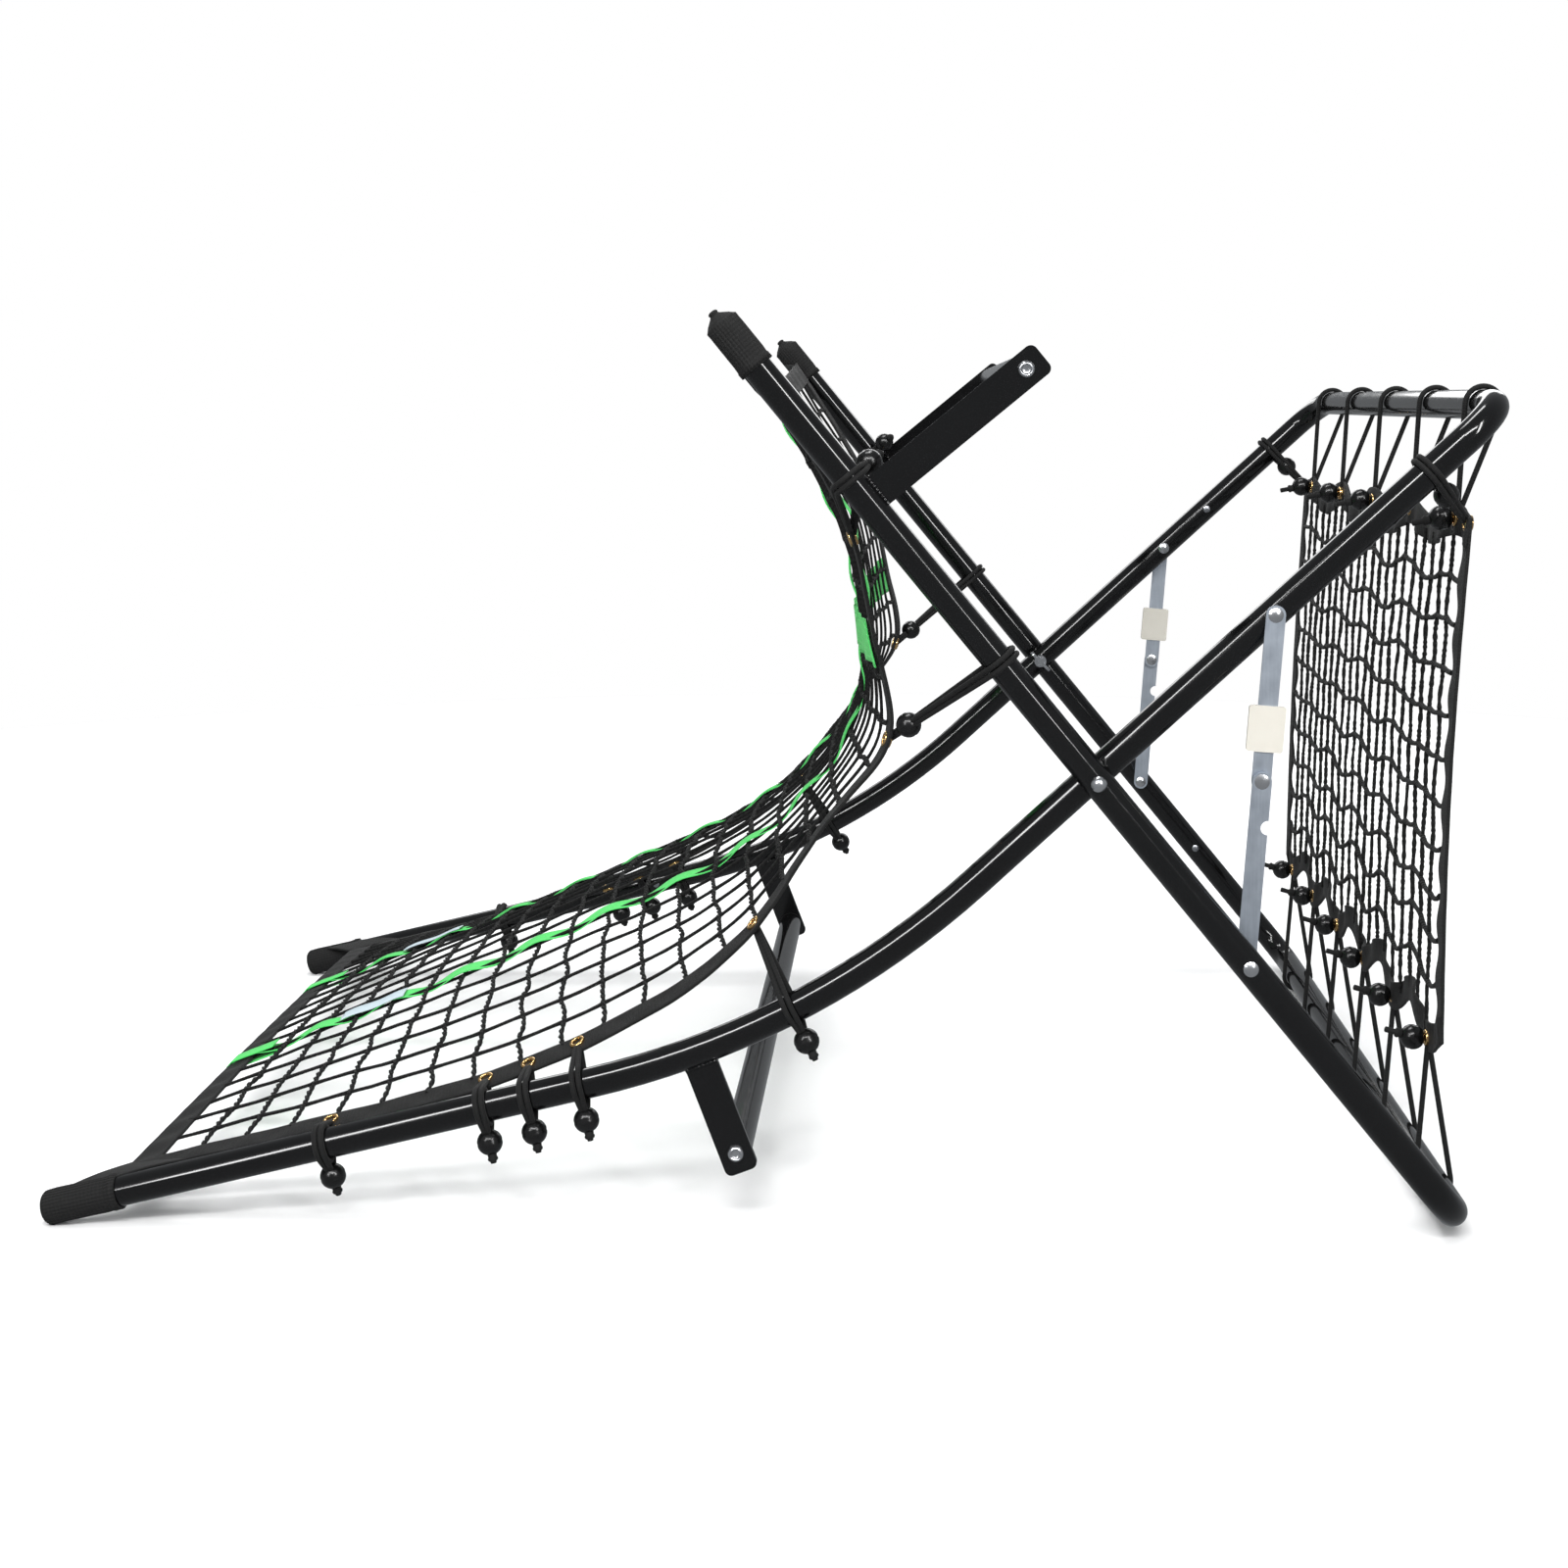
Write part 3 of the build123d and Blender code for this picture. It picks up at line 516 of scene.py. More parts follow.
def addCords(name, lines, radius, material, bend, roundness=1):
    piece = addPiece(name, cordMesh(name, lines, radius, roundness), material)
    bend(piece)
    return piece


def bandMesh(name, place, across, along, wide, long):
    # a grid bent to place(x, y), both from 0 to 1, with its UV in metres
    bm = bmesh.new()
    layer = bm.loops.layers.uv.new("UVMap")
    bmesh.ops.create_grid(bm, x_segments=across, y_segments=along, size=0.5, calc_uvs=True)
    grid = np.array([v.co for v in bm.verts]) + 0.5
    for vertex, spot in zip(bm.verts, place(grid[:, 0], grid[:, 1])):
        vertex.co = spot
    for face in bm.faces:
        for loop in face.loops:
            loop[layer].uv = (loop[layer].uv.x * wide, loop[layer].uv.y * long)
    return meshOf(bm, name)


def thicken(piece, thickness, roundEdge=0.0):
    solid = piece.modifiers.new("thickness", "SOLIDIFY")
    solid.thickness = thickness
    solid.offset = 0
    if roundEdge:
        edge = piece.modifiers.new("edge", "BEVEL")
        edge.width = roundEdge
        edge.segments = 2
        edge.limit_method = "ANGLE"


def spinMesh(profile, steps, closed=False):
    # profile: (radius, height) pairs spun about Z; ends at radius 0 close themselves
    bm = bmesh.new()
    rim = [bm.verts.new((r, 0, h)) for r, h in profile]
    edges = [bm.edges.new(pair) for pair in zip(rim, rim[1:])]
    if closed:
        edges.append(bm.edges.new((rim[-1], rim[0])))
    bmesh.ops.spin(
        bm, geom=rim + edges, cent=(0, 0, 0), axis=(0, 0, 1), angle=math.tau,
        steps=steps, use_merge=True,
    )
    bmesh.ops.remove_doubles(bm, verts=bm.verts, dist=1e-6)
    bmesh.ops.recalc_face_normals(bm, faces=bm.faces)
    return bm


def placedCopies(bm, name, settings):
    # one mesh of the same shape at many (place, direction of its Z)
    one = meshOf(bm, name)
    every = bmesh.new()
    for place, direction in settings:
        another = one.copy()
        turn = Vector(direction).to_track_quat("Z", "Y").to_matrix().to_4x4()
        another.transform(Matrix.Translation(place) @ turn)
        every.from_mesh(another)
        bpy.data.meshes.remove(another)
    bpy.data.meshes.remove(one)
    return meshOf(every, name)


def addHem(name, place, cells, flat, thick, bend):
    # a band of webbing of the flat size, bent to place(x, y)
    piece = addPiece(name, bandMesh(name, place, *cells, *flat), "hem")
    thicken(piece, thick, ramp["hemEdge"])
    bend(piece)
    return piece, flat


def declareHems(hems, node):
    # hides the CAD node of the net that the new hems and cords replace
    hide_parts(node)


# each row of the ramp net: the leg that it stands off from, how far along and off that leg the hem
# lies, the same for the middle, and how far in from the leg the hem is, in metres
rampRows = [
    ("inner", 0.052, 0.008, 0.074, 0.024, 0.022),
    ("inner", 0.233, 0.006, 0.245, 0.052, 0.022),
    ("inner", 0.371, 0.009, 0.375, 0.074, 0.024),
    ("inner", 0.409, 0.013, 0.408, 0.080, 0.025),
    ("inner", 0.454, 0.021, 0.445, 0.087, 0.026),
    ("inner", 0.643, 0.068, 0.600, 0.101, 0.028),
    ("inner", 0.775, 0.116, 0.730, 0.119, 0.030),
    ("outer", 0.125, 0.116, 0.143, 0.147, 0.062),
    ("outer", 0.195, 0.072, 0.190, 0.103, 0.055),
    ("outer", 0.276, 0.030, 0.273, 0.055, 0.044),
    ("outer", 0.370, 0.010, 0.360, 0.033, 0.028),
    ("outer", 0.455, 0.001, 0.437, 0.020, 0.026),
]

ramp = {
    "hemWide": 0.023,
    "hemThick": 0.0028,
    "hemEdge": 0.0007,
    "endWide": 0.026,
    "endThick": 1.15,  # of the side hems' thickness
    "lengthCords": 18,
    "crossCords": 26,
    "lengthRadius": 0.0016,
    "crossRadius": 0.00145,
    "bead": 0.22,  # swelling of a lengthwise cord at each crossing
    "sway": 0.0016,  # how far the lengthwise cords wander
    "crossStep": 0.0022,  # how far the crosswise cords step between crossings
    "zigzag": 0.0012,
    "plyOffset": 0.00120,
    "plyPitch": 0.019,
    "grommetIn": 0.012,
    "foldFrom": (0.000, 0, 0.270),
    "foldTo": (0.088, 0, 0.385),
}


def smoothLine(points, count=1500):
    # a natural cubic spline through the points, sampled evenly along its length
    p = np.array(points, float)
    t = np.concatenate([[0], np.cumsum(np.linalg.norm(np.diff(p, axis=0), axis=1))])
    h = np.diff(t)
    n = len(p)
    a = np.eye(n)
    b = np.zeros((n, 3))
    for i in range(1, n - 1):
        a[i, i - 1 : i + 2] = h[i - 1], 2 * (h[i - 1] + h[i]), h[i]
        b[i] = 6 * ((p[i + 1] - p[i]) / h[i] - (p[i] - p[i - 1]) / h[i - 1])
    bend = np.linalg.solve(a, b)
    at = np.linspace(0, t[-1], count)
    i = np.clip(np.searchsorted(t, at) - 1, 0, n - 2)
    left, right = (at - t[i])[:, None], (t[i + 1] - at)[:, None]
    step = h[i][:, None]
    line = (bend[i] * right**3 + bend[i + 1] * left**3) / (6 * step)
    rightPart = (p[i] / step - bend[i] * step / 6) * right
    line += rightPart + (p[i + 1] / step - bend[i + 1] * step / 6) * left
    run = np.concatenate([[0], np.cumsum(np.linalg.norm(np.diff(line, axis=0), axis=1))])
    even = np.linspace(0, run[-1], count)
    return np.stack([np.interp(even, run, line[:, k]) for k in range(3)], -1), run[-1]


def hemHalf(row):
    return (spots["innerHalf"] if row[0] == "inner" else spots["outerHalf"]) - row[5]


hemSpots = [atSide(standOff(*row[:3]), hemHalf(row)) for row in rampRows]
hemLine, hemLength = smoothLine(hemSpots)
midLine = smoothLine([standOff(row[0], row[3], row[4]) for row in rampRows])[0]
evenShare = np.linspace(0, 1, len(hemLine))


def alongLine(line, u):
    return np.stack([np.interp(u, evenShare, line[:, k]) for k in range(3)], -1)


def rampPlace(u, t):
    # u from the toe to the top, t from the near hem, -1, to the far hem, 1
    u, t = np.broadcast_arrays(np.asarray(u, float), np.asarray(t, float))
    hem, mid = alongLine(hemLine, u), alongLine(midLine, u)
    share = t * t
    x = mid[..., 0] + (hem[..., 0] - mid[..., 0]) * share
    z = mid[..., 2] + (hem[..., 2] - mid[..., 2]) * share
    return np.stack([x, t * hem[..., 1], z], -1)


def rampNormal(u, t, step=0.004):
    u, t = np.broadcast_arrays(np.asarray(u, float), np.asarray(t, float))
    along = rampPlace(np.minimum(u + step, 1), t) - rampPlace(np.maximum(u - step, 0), t)
    over = rampPlace(u, np.minimum(t + step, 1)) - rampPlace(u, np.maximum(t - step, -1))
    normal = np.cross(along, over)
    return normal / np.linalg.norm(normal, axis=-1, keepdims=True)


def rampAt(u, t, lift=0.0):
    lift = np.broadcast_to(np.asarray(lift, float), np.broadcast(u, t).shape)
    return rampPlace(u, t) + rampNormal(u, t) * lift[..., None]


def bendRamp(piece):
    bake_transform(piece)


def wander(count, size, smooth):
    # a slow random wobble, the same on every run
    knots = noiseDraw.uniform(-size, size, max(2, count // smooth + 2))
    return np.interp(np.linspace(0, len(knots) - 1, count), np.arange(len(knots)), knots)


# the cords run from hem to hem, a fifth of the way into each
sewnIn = 0.8
rampHalf = hemSpots[0].y
innerT = 1 - ramp["hemWide"] * sewnIn / rampHalf
endU = ramp["endWide"] * sewnIn / hemLength


def makeRampNet():
    lengthT = np.linspace(-innerT, innerT, ramp["lengthCords"] + 2)[1:-1]
    crossU = np.linspace(endU, 1 - endU, ramp["crossCords"] + 2)[1:-1]
    perCell = 5
    count = (ramp["crossCords"] + 1) * perCell + 1
    u = np.linspace(endU, 1 - endU, count)
    bead = 1 + ramp["bead"] * np.abs(np.cos(np.pi * np.arange(count) / perCell)) ** 12
    lines = []
    for t in lengthT:
        sway = wander(count, ramp["sway"], 4) / rampHalf
        points = rampAt(u, t + sway, wander(count, ramp["sway"] / 2, 5))
        lines.append((points, bead + wander(count, 0.07, 1)))
    long = addCords("rampLengthCords", lines, ramp["lengthRadius"], "lengthCord", bendRamp)
    lines = []
    t = np.linspace(-innerT, innerT, 250)
    knots = np.linspace(-innerT, innerT, 40)
    for k, u in enumerate(crossU):
        # each crossing steps the cord a little along the net
        steps = np.interp(t, knots, noiseDraw.uniform(-1, 1, len(knots)) * ramp["crossStep"])
        zig = np.sin(t / (lengthT[1] - lengthT[0]) * math.pi + k) * ramp["zigzag"]
        uu = u + (steps + zig) / hemLength
        turn = 2 * math.pi * t * rampHalf / ramp["plyPitch"] + k
        for ply in (0, math.pi):
            aside = np.cos(turn + ply) * ramp["plyOffset"]
            lift = np.sin(turn + ply) * ramp["plyOffset"]
            lines.append((rampAt(uu + aside / hemLength, t, lift), None))
    return [long, addCords("rampCrossCords", lines, ramp["crossRadius"], "crossCord", bendRamp, 0)]


def makeRampHems():
    wide, endWide = ramp["hemWide"] / rampHalf, ramp["endWide"] / hemLength

    def sideHem(side):
        def place(x, y):
            pucker = 0.0009 * np.sin(y * 160 + side) * np.sin(x * math.pi)
            t = side * (1 - wide * x + 0.0008 / rampHalf * np.sin(y * 75))
            return rampAt(y, t, pucker)
        return place

    def endHem(start, inward):
        def place(x, y):
            pucker = 0.0011 * np.sin(y * 120) * np.sin(x * math.pi)
            return rampAt(start + inward * endWide * x, -1 + 2 * y, pucker)
        return place

    hems = []
    flat, thick = (ramp["hemWide"], hemLength), ramp["hemThick"]
    for side, name in bothSides:
        hems.append(addHem("rampHem" + name, sideHem(side), (6, 220), flat, thick, bendRamp))
    flat, thick = (ramp["endWide"], 2 * rampHalf), thick * ramp["endThick"]
    for start, inward, name in ((0, 1, "Toe"), (1, -1, "Top")):
        hems.append(addHem("rampHem" + name, endHem(start, inward), (6, 160), flat, thick, bendRamp))
    return hems


rampCords = makeRampNet()
declareHems(makeRampHems(), "ramp_net")
print("ramp net made")

strap = {
    "apart": 0.34,  # of half the net's width, from its middle to each strap's
    "wide": 0.022,
    "thick": 0.0010,
    "weave": 0.0030,  # over one crosswise cord and under the next
    "curl": 0.0012,
    "narrow": 0.12,  # drawn in at each crossing
    "turnLong": 0.108,  # flat length of the turn round the toe hem
    "turnIn": 0.045,
    "turnLift": 0.0036,
    "tabFrom": 0.112,
    "tabShare": 0.062,
    "tabLong": 0.072,
    "tabThick": 0.0009,
    "tabLift": 0.0042,
    "crossRow": 8,  # the hem row that the cross strap runs between
    "crossWide": 0.040,
    "crossShare": 1.9,  # of half the net's width
    "crossLift": 0.0032,
    "crossWeave": 0.0016,
}


def hemRowShare(row):
    gaps = np.linalg.norm(hemLine - np.array(hemSpots[row]), axis=1)
    return evenShare[int(gaps.argmin())]


def makeStraps():
    cell = (1 - 2 * endU) / (ramp["crossCords"] + 1)
    half = strap["wide"] / 2 / rampHalf
    made = []

    def alongNet(middle):
        def place(x, y):
            u = 0.004 + 0.992 * y
            weave = np.sin((u - endU) / cell * math.pi + math.pi / 2)
            aside = (2 * x - 1) * half * (1 - strap["narrow"] * np.abs(weave))
            return rampAt(u, middle + aside, weave * strap["weave"] + strap["curl"] * (2 * x - 1) ** 2)
        return bandMesh("strap", place, 6, 162, strap["wide"], hemLength)

    def roundHem(middle):
        def place(x, y):
            # on top of the toe hem, over its edge, then back underneath
            turn = (y - 0.5) * 2
            u = strap["turnIn"] * np.abs(turn) ** 1.2 - 0.0015 * (1 - np.abs(turn))
            lift = np.where(turn > 0, 1, -1) * strap["turnLift"] * np.minimum(1, np.abs(turn) * 6)
            past = np.stack([np.minimum(u, 0) * hemLength, 0 * u, 0 * u], -1)
            return rampAt(np.maximum(u, 0), middle + (2 * x - 1) * half * 1.04, lift) + past
        return bandMesh("wrap", place, 4, 60, strap["wide"], 0.1)

    def tab(middle):
        def place(x, y):
            u, t = strap["tabFrom"] + strap["tabShare"] * y, middle + (2 * x - 1) * half * 1.02
            return rampAt(u, t, strap["tabLift"] + 0.0006 * np.sin(y * 9))
        return bandMesh("tab", place, 4, 20, strap["wide"], 0.07)

    def crossStrap(x, y):
        t = -1 + ramp["hemWide"] * 0.5 / rampHalf + y * (2 - ramp["hemWide"] / rampHalf)
        u = crossU + (x - 0.5) * strap["crossWide"] / hemLength
        weave = np.sin(t / (2 * innerT / (ramp["lengthCords"] + 1)) * math.pi) * strap["crossWeave"]
        return rampAt(u, t, strap["crossLift"] + weave)

    def add(name, mesh, finishName, thick, flat):
        piece = addPiece(name, mesh, finishName)
        thicken(piece, thick)
        made.append((piece, flat))

    for side, name in bothSides:
        mesh = alongNet(side * strap["apart"])
        add("greenStrap" + name, mesh, "green", strap["thick"], (strap["wide"], hemLength))
    for side, name in bothSides:
        mesh = roundHem(side * strap["apart"])
        add("strapTurn" + name, mesh, "green", strap["thick"], (strap["wide"], strap["turnLong"]))
    crossU = float(hemRowShare(strap["crossRow"]))
    mesh = bandMesh("cross", crossStrap, 8, 120, strap["crossWide"], 2 * rampHalf)
    flat = (strap["crossWide"], strap["crossShare"] * rampHalf)
    add("greenCrossStrap", mesh, "green", strap["thick"], flat)
    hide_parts("ramp_green_cross_strap")
    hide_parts("ramp_green_straps")
    # the pale tabs sewn on the straps near the toe
    for side, name in bothSides:
        mesh = tab(side * strap["apart"])
        add("paleTab" + name, mesh, "tab", strap["tabThick"], (strap["wide"], strap["tabLong"]))
    for piece, flat in made:
        bendRamp(piece)


makeStraps()
print("straps made")

grommet = {
    "outer": 0.00675,
    "hole": 0.0038,
    "lip": 0.0011,
    "apart": 0.0050,  # between the two lips' feet
    "rows": [1, 2, 3, 4, 5, 7, 9],
}


def grommetShape():
    # two rolled lips and a barrel between them
    outer, hole, lip = grommet["outer"], grommet["hole"], grommet["lip"]
    middle, half = (outer + hole) / 2, (outer - hole) / 2
    profile = []
    for face in (1, -1):
        for k in range(9):
            a = math.pi * k / 8 + (0 if face > 0 else math.pi)
            foot = face * grommet["apart"] / 2
            profile.append((middle + half * math.cos(a), foot + lip * math.sin(a)))
    return spinMesh(profile, 28, closed=True)


def rampGrommetSpot(row, side):
    u = hemRowShare(row)
    t = side * (1 - ramp["grommetIn"] / hemSpots[row].y)
    return Vector(rampPlace(u, t)), Vector(rampNormal(u, t))


def addGrommets(name, settings, node, bend):
    piece = addPiece(name, placedCopies(grommetShape(), name, settings), "brass")
    bend(piece)
    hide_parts(node)


rampSettings = [rampGrommetSpot(row, side) for row in grommet["rows"] for side in (-1, 1)]
addGrommets("rampGrommets", rampSettings, "ramp_grommets", bendRamp)

bungee = {
    "radius": 0.0024,
    "wrap": legs["tube"] + 0.0027,
    "twin": 0.0027,  # from a doubled loop's middle to each strand
    "ball": 0.0107,
    "knotFrom": 0.0022,  # past the ball
    "rampTail": 0.001,
    "rearTail": 0.008,
}
twins = (-bungee["twin"], bungee["twin"])


def tangentTurn(point, radius, ccw):
    # the turn at which a line from the point touches the circle
    reach = math.hypot(*point)
    return math.atan2(point[1], point[0]) + (1 if ccw else -1) * math.acos(min(1, radius / reach))


def bandRound(near, radius, far):
    # a tight band in the plane across a tube: from near, round the tube, by way of far if given
    def arc(first, last, parts):
        start = tangentTurn(first, radius, True)
        sweep = (tangentTurn(last, radius, False) - start) % math.tau
        turns = [start + sweep * k / parts for k in range(parts + 1)]
        return [(radius * math.cos(a), radius * math.sin(a)) for a in turns]

    if far is None:
        return [near] + arc(near, near, 24)
    return [near] + arc(near, far, 12) + [far] + arc(far, near, 12)


def loopLines(centre, axis, target, ball, twin):
    # the strands of one loop round a tube, from its grommet and, with a ball, round by the ball
    axis = axis.normalized()
    lean = (target - centre).dot(axis)
    towards = (target - centre - axis * lean).normalized()
    beside = axis.cross(towards)
    reach = (target - centre).dot(towards)
    far, ballLean = None, 0.0
    if ball is not None:
        offset = ball - centre
        far, ballLean = (offset.dot(towards), offset.dot(beside)), offset.dot(axis)
    wrap = bungee["wrap"]
    lines = []
    for offset in twin:
        points = []
        for x, y in bandRound((reach, 0.0), wrap, far):
            # the strands draw together at the grommet and at the ball
            outward = (math.hypot(x, y) - wrap) / max(1e-6, reach - wrap)
            atTube = min(1.0, max(0.0, 1 - outward))
            spread = offset * (0.45 + 0.55 * atTube)
            shift = lean * (1 - atTube) if x > 0 else 0.0
            if (x, y) == far:
                shift, spread = ballLean, offset * 0.3
            points.append(centre + towards * x + beside * y + axis * (spread + shift))
        lines.append((roundedLoop(points), None))
    return lines


def roundedLoop(points):
    # a closed line in short parts, with its corners cut twice
    long = []
    for a, b in zip(points, points[1:] + points[:1]):
        parts = max(1, int((b - a).length / 0.006))
        long += [a.lerp(b, k / parts) for k in range(parts)]
    for _ in range(2):
        long = [a.lerp(b, 0.25) for a, b in zip(long, long[1:] + long[:1])]
    return np.array([tuple(p) for p in long])


def ballSpots(node):
    # the middle of each separate ball of a CAD group
    bm = bmesh.new()
    bm.from_mesh(frame["nodes"][node].data)
    bmesh.ops.remove_doubles(bm, verts=bm.verts, dist=1e-6)
    seen, found = set(), []
    for vertex in bm.verts:
        if vertex.index in seen:
            continue
        island, queue = [], [vertex]
        seen.add(vertex.index)
        while queue:
            v = queue.pop()
            island.append(v.co.copy())
            for edge in v.link_edges:
                other = edge.other_vert(v)
                if other.index not in seen:
                    seen.add(other.index)
                    queue.append(other)
        spotsHere = np.array([tuple(c) for c in island])
        found.append(Vector((spotsHere.min(0) + spotsHere.max(0)) / 2))
    bm.free()
    return found


def nearestBall(balls, place):
    return min(balls, key=lambda b: (b - place).length)


def ballShape():
    # a ball with a moulded waist line and a shallow dimple where the cord goes in
    r = bungee["ball"]
    profile = []
    for k in range(25):
        a = -math.pi / 2 + math.pi * k / 24
        swell = 1 - 0.035 * math.exp(-((a / 0.09) ** 2))
        dimple = 0.0022 * math.exp(-(((a - math.pi / 2) / 0.28) ** 2))
        profile.append((max(0.0, r * math.cos(a) * swell), r * math.sin(a) - dimple))
    return spinMesh(profile, 32)


def knotShape(tail):
    # the cord's knot that stops the ball, and its cut tail
    profile = [(0, -0.0046), (0.0024, -0.0042), (0.0040, -0.0026), (0.0037, -0.0010), (0.0044, 0.0006)]
    profile += [(0.0040, 0.0020), (0.0025, 0.0030), (0.0026, 0.0030 + tail), (0.0021, 0.0036 + tail)]
    return spinMesh(profile + [(0, 0.0038 + tail)], 16)


def loopSet(name, node, jobs, body, tail):
    # jobs: tube centre, tube axis, grommet, ball, whether the loop goes by the ball, twin offsets
    lines, spheres, knots = [], [], []
    for centre, axis, target, ball, through, twin in jobs:
        lines += loopLines(centre, axis, target, ball if through else None, twin)
        if through:
            away = (ball - centre).normalized()
        else:
            away = (ball - target).normalized().lerp((target - centre).normalized(), 0.2).normalized()
        spheres.append((ball, away * -1))
        knots.append((ball + away * (bungee["ball"] + bungee["knotFrom"]), away))
    mesh = cordMesh(name, lines, bungee["radius"], 2, True)
    cords = addPiece(name + "Loops", mesh, "bungee")
    balls = addPiece(name + "Balls", placedCopies(ballShape(), name, spheres), "ball")
    mesh = placedCopies(knotShape(tail), name, knots)
    tails = addPiece(name + "Knots", mesh, "bungee")
    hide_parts(node + "_bungees")
    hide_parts(node + "_balls")
    for piece in (cords, balls, tails):
        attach(piece, body)


def rampJobs(rows, ballNode):
    balls = ballSpots(ballNode)
    jobs = []
    for row, past, through in rows:
        for side in (-1, 1):
            leg, along = rampRows[row][0], rampRows[row][1] + past
            if leg == "inner":
                place, slope = innerAxis(along)
                centre, axis = atSide(place, side * spots["innerHalf"]), turned(slope)
            else:
                centre = atSide(spots["pivot"] + outerUp * along, side * spots["outerHalf"])
                axis = outerUp
            target = rampGrommetSpot(row, side)[0]
            ball = nearestBall(balls, centre if through else target)
            jobs.append((centre, axis, target, ball, through, twins))
    return jobs


# a row of the ramp, how far past it the loop goes round its leg, and whether the loop goes by its ball
lowerJobs = rampJobs([(row, 0, True) for row in (1, 2, 3, 4, 5)], "ramp_lower_balls")
upperJobs = rampJobs([(7, 0, False), (9, 0.04, True)], "ramp_upper_balls")
loopSet("rampLower", "ramp_lower", lowerJobs, "inner_frame", bungee["rampTail"])
loopSet("rampUpper", "ramp_upper", upperJobs, "outer_frame", bungee["rampTail"])
print("ramp bungees made")

rear = {
    "back": 0.020,
    "drop": 0.084,
    "slope": 2.2,
    "wide": 0.792,
    "tall": 0.470,
    "hemWide": 0.026,
    "inset": 0.050,
    "topLoops": 5,
    "bottomLoops": 6,
    "sideFromTop": 0.014,
    "upCords": 20,
    "overCords": 10,
    "upRadius": 0.00190,
    "overRadius": 0.00225,
    "sway": 0.0016,  # how far the upright cords wander
    "droop": 0.0028,  # of a level cord between two crossings
    "step": 0.0035,  # how far the level cords stray up and down
    "sag": 0.017,  # of a hem between two grommets
    "fadeIn": 3.0,  # how fast the sag fades away from the hem
    "blendIn": 0.06,  # from each hem to where the bend begins
}
rearDown = turned(-90 - rear["slope"])
rearAway = turned(180 - rear["slope"])
rearTop = spots["innerBar"] + Vector((-rear["back"], 0, -rear["drop"]))
rearBottom = rearTop + rearDown * rear["tall"]
rearSpan = rear["wide"] / 2 - rear["inset"]


def scallop(y, count):
    # 0 at each grommet and 1 midway between two
    step = 2 * rearSpan / (count - 1)
    return 0.5 - 0.5 * np.cos(2 * math.pi * (np.asarray(y) + rearSpan) / step)


def rearPlace(y, down, lift=0.0):
    # down from 0 at the top hem to 1 at the bottom hem
    y, down, lift = np.broadcast_arrays(*(np.asarray(part, float) for part in (y, down, lift)))
    sag, fade = rear["sag"], rear["fadeIn"]
    fromTop = scallop(y, rear["topLoops"]) * sag * np.exp(-fade * down)
    fromBottom = scallop(y, rear["bottomLoops"]) * sag * 1.5 * np.exp(-fade * (1 - down))
    travel = down * rear["tall"] + fromTop - fromBottom
    waist = 1 - 0.012 * np.sin(math.pi * down)
    belly = 0.004 * np.sin(math.pi * down)
    top, fall, away = np.array(rearTop), np.array(rearDown), np.array(rearAway)
    place = top + travel[..., None] * fall + (lift + belly)[..., None] * away
    place[..., 1] = y * waist
    return place


def bendRear(piece):
    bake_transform(piece)


def makeRearNet():
    half = rear["wide"] / 2 - rear["hemWide"] * 0.75
    hemShare = rear["hemWide"] * sewnIn / rear["tall"]
    ys = np.linspace(-half, half, rear["upCords"] + 2)[1:-1]
    downs = np.linspace(hemShare, 1 - hemShare, rear["overCords"] + 2)[1:-1]
    lines = []
    count = 200
    down = np.linspace(hemShare * 0.7, 1 - hemShare * 0.7, count)
    for y in ys:
        swell = noiseDraw.uniform(0.76, 1.20, count)
        line = rearPlace(y + wander(count, rear["sway"], 18), down, wander(count, rear["sway"] / 2, 9))
        lines.append((line, swell))
    up = addCords("rearUpCords", lines, rear["upRadius"], "lengthCord", bendRear)
    lines = []
    count = 420
    y = np.linspace(-half, half, count)
    turns = (y + half) / (ys[1] - ys[0]) * math.pi
    for level in downs:
        # slack between its crossings, deeper in some cells than in others
        loose = noiseDraw.uniform(0.3, 1.0, rear["upCords"] + 2)
        depth = np.interp(y, np.linspace(-half, half, len(loose)), loose)
        droop = np.abs(np.sin(turns)) * rear["droop"] * depth
        stray = np.interp(y, np.linspace(-half, half, 12), noiseDraw.uniform(-1, 1, 12)) * rear["step"]
        line = rearPlace(y, level + (droop + stray) / rear["tall"])
        swell = 1 + 0.16 * np.abs(np.cos(turns)) ** 10 + noiseDraw.uniform(-0.08, 0.08, count)
        lines.append((line, swell))
    return [up, addCords("rearOverCords", lines, rear["overRadius"], "crossCord", bendRear)]


def makeRearHems():
    wide, half = rear["hemWide"], rear["wide"] / 2

    def level(sign, base):
        def place(x, y):
            yy = -half + 2 * half * y
            fold = 0.0022 * np.sin(yy * 140) * x + 0.0015 * np.sin(yy * 61 + 1)
            return rearPlace(yy, base + sign * wide / rear["tall"] * x, fold)
        return place

    def upright(side):
        def place(x, y):
            return rearPlace(side * (half - wide * 0.75 * x), y, 0.0012 * np.sin(y * 60) * x)
        return place

    hems = []
    flat, thick = (wide, 2 * half), ramp["hemThick"]
    for name, sign, base in (("Top", 1, 0.0), ("Bottom", -1, 1.0)):
        hems.append(addHem("rearHem" + name, level(sign, base), (6, 220), flat, thick, bendRear))
    flat = (wide * 0.75, rear["tall"])
    for side, name in bothSides:
        hems.append(addHem("rearHem" + name, upright(side), (4, 160), flat, thick, bendRear))
    return hems


def rearYs(count):
    return [-rearSpan + 2 * rearSpan * k / (count - 1) for k in range(count)]


